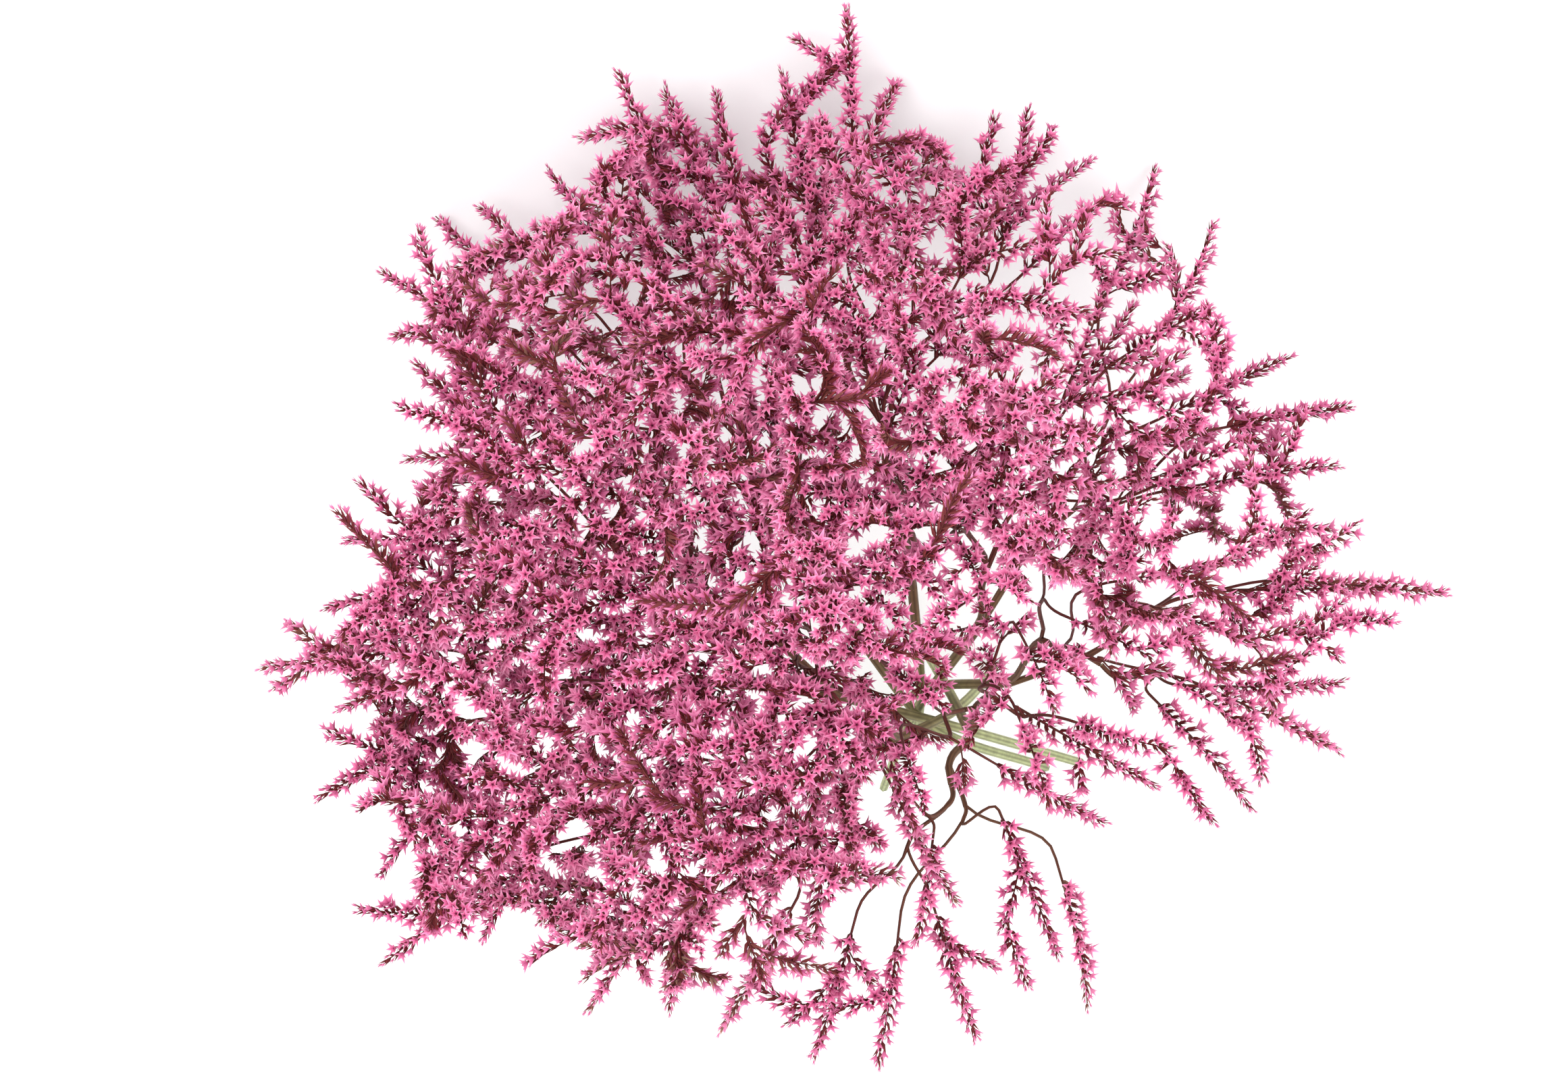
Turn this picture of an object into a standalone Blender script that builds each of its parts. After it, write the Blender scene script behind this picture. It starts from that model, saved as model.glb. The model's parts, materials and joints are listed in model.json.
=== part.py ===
"""Dried statice: a loose bunch of much-forked stems with sprays of pink star florets, lying down.

Lengths are in metres. The bunch is grown upright, with its stems crossing at the origin and its
crown towards +Z, and is laid on the plane z = 0 at the end. Its florets are about four times life
size, and fewer to match.
"""
import math
import random

import bmesh
import bpy
import numpy as np
from mathutils import Matrix, Vector
from mathutils.bvhtree import BVHTree
from mathutils.geometry import interpolate_bezier

SEED = 11

# Stems: the middle of each cut end, below the waist where they cross, and where each one's head
# lies, seen from above.
CUT_ENDS = [
    (-0.015, -0.039, -0.150),
    (-0.005, -0.024, -0.150),
    (0.050, -0.031, -0.150),
    (0.064, -0.029, -0.148),
    (0.028, 0.010, -0.124),
    (-0.004, 0.024, -0.112),
    (-0.022, -0.012, -0.130),
]
HEADS = [
    (0.075, 0.125),
    (-0.025, 0.170),
    (-0.115, 0.135),
    (-0.145, 0.040),
    (-0.085, -0.035),
    (0.025, -0.045),
    (0.100, 0.020),
]
WAIST_RADIUS = 0.0070
WAIST_PLACES = [3, 2, 4, 5, 6, 0, 1]
WAIST_TURN = math.radians(36)
LOWER_HANDLE_SHARE = 0.35
BELOW_WAIST = 0.045
ABOVE_WAIST = 0.018
FIRST_FORK_HEIGHT = 0.048
FIRST_FORK_SHARE = 0.24
FIRST_FORK_KEEP = 0.5
HEAD_HEIGHT = 0.150

# The crown is a dome over the waist, leaning towards +Y, where its rim dips.
CROWN_CENTRE = (-0.032, 0.062)
CROWN_REACH = (0.178, 0.160)
CROWN_TOP = 0.235
RIM_HEIGHT = 0.095
RIM_DIP = 0.050
CROWN_HEART = (-0.020, 0.040, 0.030)
CROWN_SPRIGS = 62
CROWN_FILL = 0.90
CROWN_DEPTH = 0.034

# The photograph's view, in its own 2322 x 1596 pixels: its middle, its focal length, and the
# eye's place over the waist. Heights are in metres.
PHOTO_MIDDLE = (1161.0, 798.0)
PHOTO_FOCAL = 5909.0
EYE = (-0.0550, 0.0606, 1.450)

# Tips of the sprigs that make the outline: pixel across, pixel down, height.
RIM_TIPS = [
    (1255, 15, 0.072), (1160, 112, 0.062), (1520, 165, 0.036), (1615, 240, 0.024),
    (1710, 245, 0.008), (1795, 330, 0.030), (1905, 530, 0.045), (1675, 455, 0.090),
    (1995, 605, 0.060), (1975, 690, 0.080), (2055, 870, 0.080), (2140, 880, 0.085),
    (1985, 1010, 0.095), (1980, 1110, 0.095), (1850, 1195, 0.095), (1705, 1160, 0.110),
    (1630, 1215, 0.105), (1565, 1410, 0.095), (1415, 1335, 0.100), (1355, 1225, 0.120),
    (1610, 1485, 0.085), (1445, 1535, 0.080), (1300, 1570, 0.080), (1205, 1565, 0.085),
    (1070, 1520, 0.090), (990, 1495, 0.090), (875, 1490, 0.085), (720, 1385, 0.090),
    (570, 1425, 0.085), (565, 1295, 0.095), (475, 1180, 0.095), (505, 1050, 0.105),
    (392, 988, 0.095), (485, 900, 0.100), (520, 800, 0.100), (610, 680, 0.095),
    (620, 540, 0.080), (570, 405, 0.045), (645, 320, 0.026), (715, 310, 0.042),
    (815, 258, 0.050), (920, 112, 0.070), (985, 135, 0.064), (1060, 140, 0.062),
]

# Open patches, where the photograph shows no florets: pixel across, pixel down, radius.
OPEN_PATCHES = [
    (1390, 370, 34), (1380, 530, 26), (1270, 810, 32), (1425, 1010, 36), (1570, 900, 48),
    (1690, 460, 40), (1050, 985, 26), (980, 1270, 30), (1080, 1350, 30), (1450, 1230, 80),
    (1700, 1250, 110), (1280, 1350, 50),
]

# Sprigs: the straight line from a spike's base to its tip, and the side its florets face.
RIM_SPIKE = 0.052
RIM_LIFT = 0.25
CROWN_SPIKE = 0.040
CROWN_LIFT = 0.55
SPRIG_STRAY = 0.30
FACE_LIFT = 0.6
MIDDLE_REACH = 0.02
MIDDLE_SIDE = (0.7, 0.7, 0.0)

# Limbs: a twig's radius grows with the sprigs it carries, up to a stem's. A spray starts where a
# limb carries few enough, a seam's width beyond the stub that the stem keeps.
SPRAY_SPRIGS = 4
TWIG_RADIUS = 0.00062
STEM_RADIUS = 0.00185
RADIUS_POWER = 0.45
STUB = 0.010
STUB_SHARE = 0.4
SEAM = 0.00035
FORK_SHARE = 0.42
FORK_JITTER = 0.007
FORK_KEEP = 0.6
FORK_SINK = 0.3
SPLIT_TURNS = 12
HANDLE_SHARE = 0.38
LIMB_STEPS = 24
CURVE_STEPS = 2
STEM_SIDES = 5
TWIG_SIDES = 3

# How limbs keep clear of other nodes: a curve is bent further at each try.
LIMB_CLEARANCE = 0.0018
SAMPLE_STEP = 0.0025
LEAST_SAMPLES = 4
BEND_TRIES = 24
BEND_STEP = 0.0012

# The core of a spike, bowed to the side of its florets.
SPIKE_RADIUS = 0.0013
SPIKE_TAPER = 0.35
SPIKE_HANDLE_SHARE = 0.36
SPIKE_BOW = 0.12
SPIKE_BASE_BOW = 0.4

# One floret: an open star on a narrow funnel, its point at the origin and its mouth towards +Z.
LOBES = 5
FLORET_HEIGHT = 0.0098
FLORET_TIP_RADIUS = 0.0125
FLORET_NOTCH_RADIUS = 0.0058
FLORET_TIP_RISE = 0.0022
FLORET_NOTCH_DROP = 0.0010
FLORET_CENTRE_RISE = 0.0006
FACING_UP = 0.9

# Florets along a spike: they lean apart in two rows and forward, the one at the end the most.
FLORET_SPACING = 0.0135
END_MARGIN = 0.0085
FLORET_LEAN = math.radians(42)
FORWARD_LEAN = 0.35
END_FORWARD_LEAN = 0.70
FLORET_SIZES = [1.18, 1.08, 1.0, 0.9, 0.8, 0.7]
FLORET_CLEARANCE = 0.0005
TWISTS = 3

# The lie: the plane it rests on has this normal in the upright frame, and what touches that plane
# is cut flat by this much.
LIE_NORMAL = (0.0995, -0.6008, 0.7932)
LIE_CUT = 0.0016
MERGE_DISTANCE = 1e-7

# Finishes: colour and roughness.
STEM_FINISH = ((0.20, 0.16, 0.07), 0.70)
TWIG_FINISH = ((0.10, 0.035, 0.025), 0.75)
FLORET_FINISH = ((0.80, 0.16, 0.42), 0.80)


def from_photo(across, down, height):
    """The point at this height that the photograph shows at this pixel."""
    spread = (EYE[2] - height) / PHOTO_FOCAL
    x = EYE[0] + (across - PHOTO_MIDDLE[0]) * spread
    y = EYE[1] + (PHOTO_MIDDLE[1] - down) * spread
    return Vector((x, y, height))


def in_photo(point):
    """The pixel at which the photograph shows a point."""
    scale = PHOTO_FOCAL / (EYE[2] - point.z)
    across = PHOTO_MIDDLE[0] + (point.x - EYE[0]) * scale
    down = PHOTO_MIDDLE[1] - (point.y - EYE[1]) * scale
    return Vector((across, down))


def crown_height(x, y):
    """Height of the crown's surface over this spot."""
    across = (x - CROWN_CENTRE[0]) / CROWN_REACH[0]
    along = (y - CROWN_CENTRE[1]) / CROWN_REACH[1]
    rim = RIM_HEIGHT - RIM_DIP * max(0.0, along)
    return rim + (CROWN_TOP - rim) * max(0.0, 1.0 - across * across - along * along)


def make_sprig(tip, length, lift, chance):
    """A spike's tip, base, direction and the side on which its florets stand."""
    outward = (tip - Vector(CROWN_HEART)).normalized()
    level = Vector((tip.x - CROWN_CENTRE[0], tip.y - CROWN_CENTRE[1], 0.0))
    level = level.normalized() if level.length > MIDDLE_REACH else Vector(MIDDLE_SIDE)
    stray = Vector([chance.uniform(-1.0, 1.0) for _ in range(3)])
    aim = (level * (1.0 - lift) + outward * lift + stray * SPRIG_STRAY).normalized()
    face = outward + Vector((0.0, 0.0, FACE_LIFT))
    face = (face - aim * face.dot(aim)).normalized()
    return {"tip": tip, "base": tip - aim * length, "aim": aim, "face": face, "length": length}


def rim_sprigs(chance):
    """The sprigs of the outline."""
    return [make_sprig(from_photo(*tip), RIM_SPIKE, RIM_LIFT, chance) for tip in RIM_TIPS]


def crown_sprigs(chance):
    """Sprigs over the dome, in the turn of a sunflower, but for the open patches."""
    golden_angle = math.pi * (3.0 - math.sqrt(5.0))
    sprigs = []
    for number in range(CROWN_SPRIGS):
        out = CROWN_FILL * math.sqrt((number + 0.5) / CROWN_SPRIGS)
        turn = golden_angle * number
        x = CROWN_CENTRE[0] + CROWN_REACH[0] * out * math.cos(turn)
        y = CROWN_CENTRE[1] + CROWN_REACH[1] * out * math.sin(turn)
        sunk = CROWN_DEPTH * chance.random()
        tip = Vector((x, y, crown_height(x, y) - sunk))
        sprig = make_sprig(tip, CROWN_SPIKE, CROWN_LIFT, chance)
        middle = in_photo(tip.lerp(sprig["base"], 0.5))
        if all((middle - Vector(patch[:2])).length > patch[2] for patch in OPEN_PATCHES):
            sprigs.append(sprig)
    return sprigs


def head_of(sprig):
    """Number of the stem whose head is nearest."""
    place = Vector(sprig["base"][:2])
    gaps = [(place - Vector(head)).length for head in HEADS]
    return gaps.index(min(gaps))


def limb_radius(carried):
    """A limb is thicker the more sprigs it carries."""
    return min(STEM_RADIUS, TWIG_RADIUS * carried ** RADIUS_POWER)


class Plant:
    """The limbs and spikes of the whole bunch, and what they keep clear of."""

    def __init__(self, chance):
        self.chance = chance
        self.limbs = []
        self.spikes = []
        self.sprays = 0
        self.samples = np.zeros((0, 4))
        self.owners = np.zeros(0, dtype=int)
        self.nodes = []

    def number_of(self, node):
        """A number that stands for a node among the owners."""
        if node not in self.nodes:
            self.nodes.append(node)
        return self.nodes.index(node)

    def gap(self, points, radius, node):
        """Least clearance of a row of points to the limbs of other nodes."""
        row = np.array([point[:] for point in points if (point - points[0]).length > STUB])
        other = self.samples[self.owners != self.number_of(node)]
        if not len(row) or not len(other):
            return math.inf
        apart = np.linalg.norm(row[:, None, :] - other[None, :, :3], axis=2)
        return float((apart - other[None, :, 3] - radius).min())

    def keep(self, points, radius, node):
        """Remember where a limb runs."""
        rows = np.array([[*point, radius] for point in points])
        self.samples = np.vstack([self.samples, rows])
        self.owners = np.concatenate([self.owners, np.full(len(rows), self.number_of(node))])

    def new_limb(self, node, start, radius, lead=None):
        """A limb that so far has only its first point, and a lead where its end has to face one way."""
        limb = {"node": node, "points": [start], "radii": [radius], "lead": lead}
        self.limbs.append(limb)
        return limb

    def new_spray(self, start, radius, lead):
        """The first limb of a spray."""
        self.sprays += 1
        return self.new_limb("spray_%02d" % self.sprays, start, radius, lead)


def sampled(curve):
    """Close points along a curve, given by its ends and handles."""
    steps = max(LEAST_SAMPLES, int((curve[3] - curve[0]).length / SAMPLE_STEP))
    return interpolate_bezier(*curve, steps)


def clear_curve(plant, node, start, heading, end, arrival, radius):
    """A smooth curve between two points that keeps off the limbs of other nodes."""
    reach = (end - start).length * HANDLE_SHARE
    best = None
    for attempt in range(BEND_TRIES):
        push = BEND_STEP * attempt
        aside = Vector([plant.chance.uniform(-push, push) for _ in range(3)])
        curve = (start, start + heading * reach + aside, end - arrival * reach + aside, end)
        gap = plant.gap(sampled(curve), radius, node)
        if best is None or gap > best[0]:
            best = (gap, curve)
        if gap > LIMB_CLEARANCE:
            break
    return best[1]


def middle_of(sprigs):
    """The middle of the sprigs' bases."""
    return sum((sprig["base"] for sprig in sprigs), Vector()) / len(sprigs)


def part_in_two(sprigs, fork, heading):
    """Two halves of the sprigs, parted by the plane across which they spread the most."""
    side = heading.orthogonal().normalized()
    spots = [sprig["base"] - fork for sprig in sprigs]
    widest = None
    for step in range(SPLIT_TURNS):
        across = Matrix.Rotation(math.pi * step / SPLIT_TURNS, 3, heading) @ side
        marks = [spot.dot(across) for spot in spots]
        spread = max(marks) - min(marks)
        if widest is None or spread > widest[0]:
            widest = (spread, marks)
    order = sorted(range(len(sprigs)), key=lambda number: widest[1][number])
    half = (len(sprigs) + 1) // 2
    parts = [order[:half], order[half:]]
    return [[sprigs[number] for number in part] for part in parts]


def run_on(limb, points, radius):
    """Lengthen a limb through these points."""
    limb["points"] += points
    limb["radii"] += [radius] * len(points)


def end_in_spike(plant, limb, sprig):
    """Carry a limb on as the core of a spike, bowed to the side of its florets."""
    handle = sprig["aim"] * sprig["length"] * SPIKE_HANDLE_SHARE
    bow = sprig["face"] * sprig["length"] * SPIKE_BOW
    base, tip = sprig["base"], sprig["tip"]
    curve = (base, base + handle + bow * SPIKE_BASE_BOW, tip - handle + bow, tip)
    plant.keep(sampled(curve), SPIKE_RADIUS, limb["node"])
    points = interpolate_bezier(*curve, CURVE_STEPS + 1)
    plant.spikes.append({"limb": limb, "points": points, "face": sprig["face"]})
    limb["radii"][-1] = SPIKE_RADIUS
    run_on(limb, points[1:], SPIKE_RADIUS)
    limb["radii"][-1] = SPIKE_RADIUS * SPIKE_TAPER


def grow(plant, limb, heading, sprigs):
    """Lengthen a limb to its next fork, and fork on until each twig ends in one spike."""
    carried = len(sprigs)
    radius = limb_radius(carried)
    start = limb["points"][-1]
    if carried == 1:
        end = sprigs[0]["base"]
        arrival = sprigs[0]["aim"]
    else:
        middle = middle_of(sprigs)
        jitter = Vector([plant.chance.uniform(-FORK_JITTER, FORK_JITTER) for _ in range(3)])
        end = start.lerp(middle, FORK_SHARE) + jitter
        arrival = (middle - end).normalized()
    becomes_spray = limb["node"].startswith("stem") and carried <= SPRAY_SPRIGS
    node = "spray_%02d" % (plant.sprays + 1) if becomes_spray else limb["node"]
    curve = clear_curve(plant, node, start, heading, end, arrival, radius)
    plant.keep(sampled(curve), radius, node)
    points = interpolate_bezier(*curve, LIMB_STEPS + 1)
    if becomes_spray:
        cut = round(min(STUB / (end - start).length, STUB_SHARE) * LIMB_STEPS)
        run_on(limb, [points[cut]], radius)
        lead = (points[cut] - start).normalized()
        points = [points[cut] + lead * SEAM] + points[cut + 1:]
        limb = plant.new_spray(points[0], radius, lead)
    run_on(limb, thin_out(points, CURVE_STEPS + 1)[1:], radius)
    if carried == 1:
        end_in_spike(plant, limb, sprigs[0])
        return
    first, second = part_in_two(sprigs, end, arrival)
    grow(plant, limb, arrival, first)
    sunk = end - arrival * radius * FORK_SINK
    branch = plant.new_limb(limb["node"], sunk, limb_radius(len(second)))
    leave = (arrival * FORK_KEEP + (middle_of(second) - end).normalized()).normalized()
    grow(plant, branch, leave, second)


def thin_out(points, count):
    """So many points of a row, evenly chosen, with both ends."""
    return [points[round(number * (len(points) - 1) / (count - 1))] for number in range(count)]


def trunk(plant, number):
    """One stem, from its cut end past the waist to its first fork, and its heading there."""
    cut, head = CUT_ENDS[number], HEADS[number]
    node = "stem_%d" % (number + 1)
    low = Vector(cut)
    turn = WAIST_TURN + math.tau * WAIST_PLACES[number] / len(HEADS)
    waist = Vector((math.cos(turn), math.sin(turn), 0.0)) * WAIST_RADIUS
    far = Vector((*head, HEAD_HEIGHT))
    fork = waist.lerp(far, FIRST_FORK_SHARE)
    fork.z = FIRST_FORK_HEIGHT
    heading = (far - fork).normalized()
    through = (fork - low).normalized()
    lower = (low, low.lerp(waist, LOWER_HANDLE_SHARE), waist - through * BELOW_WAIST, waist)
    upper = (waist, waist + through * ABOVE_WAIST, fork - heading * ABOVE_WAIST, fork)
    limb = plant.new_limb(node, low, STEM_RADIUS)
    for curve in (lower, upper):
        plant.keep(sampled(curve), STEM_RADIUS, node)
        run_on(limb, interpolate_bezier(*curve, CURVE_STEPS + 1)[1:], STEM_RADIUS)
    return limb, heading


def grow_bunch():
    """All the stems with what they carry."""
    chance = random.Random(SEED)
    plant = Plant(chance)
    sprigs = rim_sprigs(chance) + crown_sprigs(chance)
    trunks = [trunk(plant, number) for number in range(len(HEADS))]
    for number, (limb, heading) in enumerate(trunks):
        share = [sprig for sprig in sprigs if head_of(sprig) == number]
        fork = limb["points"][-1]
        halves = part_in_two(share, fork, heading)
        side = plant.new_limb(limb["node"], fork - heading * STEM_RADIUS, STEM_RADIUS)
        for branch, half in zip((limb, side), halves):
            leave = (heading * FIRST_FORK_KEEP + (middle_of(half) - fork).normalized()).normalized()
            grow(plant, branch, leave, half)
    return plant


def frames_along(points, lead):
    """A frame at each point, its Z along the row and its X turning as little as it can."""
    frames = []
    side = None
    for number, point in enumerate(points):
        ahead = points[min(number + 1, len(points) - 1)]
        behind = points[max(number - 1, 0)]
        along = lead if lead and not number else (ahead - behind).normalized()
        side = along.orthogonal() if side is None else side
        side = (side - along * side.dot(along)).normalized()
        up = along.cross(side)
        frame = Matrix((side, up, along)).transposed().to_4x4()
        frame.translation = point
        frames.append(frame)
    return frames


def limb_mesh(limb, sides):
    """A closed tapering tube through a limb's points."""
    bm = bmesh.new()
    frames = [frame @ Matrix.Diagonal((radius, radius, 1.0, 1.0))
              for frame, radius in zip(frames_along(limb["points"], limb["lead"]), limb["radii"])]
    bmesh.ops.create_circle(bm, cap_ends=True, segments=sides, radius=1.0, matrix=frames[0])
    edges = list(bm.edges)
    for before, after in zip(frames, frames[1:]):
        grown = bmesh.ops.extrude_edge_only(bm, edges=edges)["geom"]
        edges = [part for part in grown if isinstance(part, bmesh.types.BMEdge)]
        corners = [part for part in grown if isinstance(part, bmesh.types.BMVert)]
        bmesh.ops.transform(bm, matrix=after @ before.inverted(), verts=corners)
    bmesh.ops.contextual_create(bm, geom=edges)
    bmesh.ops.recalc_face_normals(bm, faces=bm.faces)
    bmesh.ops.triangulate(bm, faces=bm.faces)
    bm.verts.index_update()
    return bm


def share_face(edge, other):
    """Whether two edges bound a common face."""
    return any(face in other.link_faces for face in edge.link_faces)


def floret_mesh():
    """One star floret: a three-sided funnel under a mouth drawn out into five pointed lobes."""
    bm = bmesh.new()
    rim = FLORET_HEIGHT - FLORET_NOTCH_DROP
    place = Matrix.Translation((0.0, 0.0, rim / 2)) @ Matrix.Rotation(math.pi, 4, "X")
    bmesh.ops.create_cone(bm, cap_ends=True, cap_tris=True, segments=LOBES,
                          radius1=FLORET_NOTCH_RADIUS, radius2=0.0, depth=rim, matrix=place)
    mouth = [face for face in bm.faces if face.normal.z > FACING_UP]
    centre = max(bm.verts, key=lambda vert: len([face for face in vert.link_faces if face in mouth]))
    point = min(bm.verts, key=lambda vert: vert.co.z)
    edges = list(point.link_edges)
    first = edges[0]
    apart = [edge for edge in edges if edge is not first and not share_face(edge, first)]
    bmesh.ops.rotate_edges(bm, edges=[first, apart[0]])
    lobes = bmesh.ops.poke(bm, faces=mouth)["verts"]
    for lobe in lobes:
        out = Vector((lobe.co.x, lobe.co.y, 0.0)).normalized() * FLORET_TIP_RADIUS
        lobe.co = out + Vector((0.0, 0.0, FLORET_HEIGHT + FLORET_TIP_RISE))
    centre.co.z = FLORET_HEIGHT + FLORET_CENTRE_RISE
    bmesh.ops.recalc_face_normals(bm, faces=bm.faces)
    bm.verts.index_update()
    return bm


def fattened(bm):
    """A copy of a mesh that is larger all round by a floret's clearance."""
    fat = bm.copy()
    fat.normal_update()
    for vert in fat.verts:
        vert.co += vert.normal * FLORET_CLEARANCE
    return fat


def along_row(points, distance):
    """The point at a distance along a row of points, and the way it runs there."""
    for here, there in zip(points, points[1:]):
        step = (there - here).length
        if distance <= step or there is points[-1]:
            return here.lerp(there, min(1.0, distance / step)), (there - here).normalized()
        distance -= step


def floret_places(spike, chance):
    """Root, axis and turn of each floret: two rows that lean apart on the spike's outer side."""
    points = spike["points"]
    length = sum((there - here).length for here, there in zip(points, points[1:]))
    last = length - END_MARGIN
    places = []
    for number in range(int(last / FLORET_SPACING) + 1):
        root, along = along_row(points, last - number * FLORET_SPACING)
        face = (spike["face"] - along * spike["face"].dot(along)).normalized()
        aside = along.cross(face) * (1 if number % 2 else -1)
        lean = FLORET_LEAN if number else 0.0
        forward = FORWARD_LEAN if number else END_FORWARD_LEAN
        axis = face * math.cos(lean) + aside * math.sin(lean) + along * forward
        places.append((root, axis.normalized(), chance.uniform(0.0, math.tau)))
    return places


class Crowd:
    """The meshes placed so far, with which a new floret must not meet."""

    def __init__(self):
        self.members = []

    def add(self, owner, bm):
        """Remember a mesh, and the limb that it is, if it is one."""
        corners, faces = corners_and_faces(bm, Matrix())
        middle, reach = ball_round(corners)
        self.members.append((owner, BVHTree.FromPolygons(corners, faces), middle, reach))

    def is_clear(self, owner, bm, place):
        """Whether a mesh in this place keeps off all but its owner, the limb that carries it."""
        corners, faces = corners_and_faces(bm, place)
        middle, reach = ball_round(corners)
        tree = BVHTree.FromPolygons(corners, faces)
        for other, other_tree, other_middle, other_reach in self.members:
            if other == owner or (middle - other_middle).length > reach + other_reach:
                continue
            if tree.overlap(other_tree):
                return False
            if any(other_tree.find_nearest(corner, FLORET_CLEARANCE)[0] for corner in corners):
                return False
        return True


def corners_and_faces(bm, place):
    """A mesh's corners in this place, and its faces as rows of corner numbers."""
    corners = [place @ vert.co for vert in bm.verts]
    faces = [[vert.index for vert in face.verts] for face in bm.faces]
    return corners, faces


def ball_round(corners):
    """The middle of some corners and the reach of the furthest."""
    middle = sum(corners, Vector()) / len(corners)
    return middle, max((corner - middle).length for corner in corners)


def clear_place(crowd, owner, fat, root, axis, turn):
    """The place at the largest size and the first twist where a fat floret meets nothing, or None."""
    upright = Matrix.Translation(root) @ axis.to_track_quat("Z", "Y").to_matrix().to_4x4()
    for size in FLORET_SIZES:
        for twist in range(TWISTS):
            spin = Matrix.Rotation(turn + math.tau / LOBES * twist / TWISTS, 4, "Z")
            place = upright @ spin @ Matrix.Scale(size, 4)
            if crowd.is_clear(owner, fat, place):
                return place
    return None


def new_object(name, piece, collection):
    """An object that holds this piece, a mesh with its finish."""
    bm, finish = piece
    mesh = bpy.data.meshes.new(name)
    bm.to_mesh(mesh)
    bm.free()
    mesh.materials.append(finish)
    item = bpy.data.objects.new(name, mesh)
    collection.objects.link(item)
    return item


def shells(bm):
    """The connected bodies of a mesh, as lists of faces."""
    left = set(bm.faces)
    bodies = []
    while left:
        body = [left.pop()]
        for face in body:
            for edge in face.edges:
                for other in edge.link_faces:
                    if other in left:
                        left.remove(other)
                        body.append(other)
        bodies.append(body)
    return bodies


def outer_body(mesh):
    """Keep the largest body of a mesh: scraps are dropped and sealed hollows are filled."""
    bm = bmesh.new()
    bm.from_mesh(mesh)
    bodies = sorted(shells(bm), key=len)
    scraps = [face for body in bodies[:-1] for face in body]
    bmesh.ops.delete(bm, geom=scraps, context="FACES")
    bmesh.ops.triangulate(bm, faces=bm.faces)
    bm.to_mesh(mesh)
    bm.free()


def is_closed(mesh):
    """Whether every edge of a mesh has two faces and all of it holds together."""
    bm = bmesh.new()
    bm.from_mesh(mesh)
    closed = all(edge.is_manifold for edge in bm.edges) and len(shells(bm)) == 1
    bm.free()
    return closed


def join(name, pieces):
    """One closed body from a node's pieces, by one Boolean union on a collection."""
    scene = bpy.context.scene
    others = bpy.data.collections.new(name + "_pieces")
    scene.collection.children.link(others)
    body = new_object(name, pieces[0], scene.collection)
    for number, piece in enumerate(pieces[1:]):
        new_object("%s_%d" % (name, number), piece, others)
    union = body.modifiers.new("join", "BOOLEAN")
    union.operation = "UNION"
    union.operand_type = "COLLECTION"
    union.collection = others
    union.material_mode = "TRANSFER"
    for solver in ("EXACT", "MANIFOLD"):
        union.solver = solver
        seen = body.evaluated_get(bpy.context.evaluated_depsgraph_get())
        joined = bpy.data.meshes.new_from_object(seen)
        if is_closed(joined):
            break
    body.modifiers.clear()
    body.data = joined
    for other in list(others.objects):
        bpy.data.objects.remove(other)
    bpy.data.collections.remove(others)
    outer_body(body.data)
    return body


def cut_level(mesh, height):
    """Cut away what reaches below a height and close the cut with a flat face."""
    bm = bmesh.new()
    bm.from_mesh(mesh)
    everything = bm.verts[:] + bm.edges[:] + bm.faces[:]
    cut = bmesh.ops.bisect_plane(bm, geom=everything, dist=MERGE_DISTANCE, plane_co=(0.0, 0.0, height),
                                 plane_no=(0.0, 0.0, -1.0), clear_outer=True)["geom_cut"]
    edges = [part for part in cut if isinstance(part, bmesh.types.BMEdge)]
    bmesh.ops.holes_fill(bm, edges=edges)
    bmesh.ops.recalc_face_normals(bm, faces=bm.faces)
    bmesh.ops.triangulate(bm, faces=bm.faces)
    bm.to_mesh(mesh)
    bm.free()


def lay_down(bodies):
    """Turn the bunch onto its side, flatten what touches and put its box over the origin."""
    up = Vector(LIE_NORMAL).normalized()
    back = (up * up.z - Vector((0.0, 0.0, 1.0))).normalized()
    turn = Matrix((back.cross(up), back, up)).to_4x4()
    for body in bodies:
        body.data.transform(turn)
    corners = [vert.co for body in bodies for vert in body.data.vertices]
    floor = min(corner.z for corner in corners) + LIE_CUT
    x_range = [pick(corner.x for corner in corners) for pick in (min, max)]
    y_range = [pick(corner.y for corner in corners) for pick in (min, max)]
    shift = Matrix.Translation((-sum(x_range) / 2, -sum(y_range) / 2, -floor))
    for body in bodies:
        if min(vert.co.z for vert in body.data.vertices) < floor:
            cut_level(body.data, floor)
        body.data.transform(shift)


def plain_finish(name, colour, roughness):
    """A dull material of one colour."""
    finish = bpy.data.materials.new(name)
    finish.use_nodes = True
    shader = finish.node_tree.nodes["Principled BSDF"]
    shader.inputs["Base Color"].default_value = (*colour, 1.0)
    shader.inputs["Roughness"].default_value = roughness
    shader.inputs["Metallic"].default_value = 0.0
    return finish


def limb_pieces(plant, pieces, crowd):
    """The tubes of all limbs, sorted by node."""
    stem_finish = plain_finish("dried_stem", *STEM_FINISH)
    twig_finish = plain_finish("brown_twig", *TWIG_FINISH)
    for limb in plant.limbs:
        of_stem = limb["node"].startswith("stem")
        tube = limb_mesh(limb, STEM_SIDES if of_stem else TWIG_SIDES)
        pieces.setdefault(limb["node"], []).append((tube, stem_finish if of_stem else twig_finish))
        crowd.add(id(limb), tube)


def floret_pieces(plant, pieces, crowd):
    """The florets of all spikes, each where it meets nothing but the limb that carries it."""
    chance = random.Random(SEED)
    finish = plain_finish("pink_floret", *FLORET_FINISH)
    template = floret_mesh()
    fat = fattened(template)
    for spike in plant.spikes:
        limb = spike["limb"]
        for root, axis, turn in floret_places(spike, chance):
            place = clear_place(crowd, id(limb), fat, root, axis, turn)
            if place is None:
                continue
            floret = template.copy()
            floret.transform(place)
            pieces[limb["node"]].append((floret, finish))
            crowd.add(None, floret)
    template.free()
    fat.free()


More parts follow.
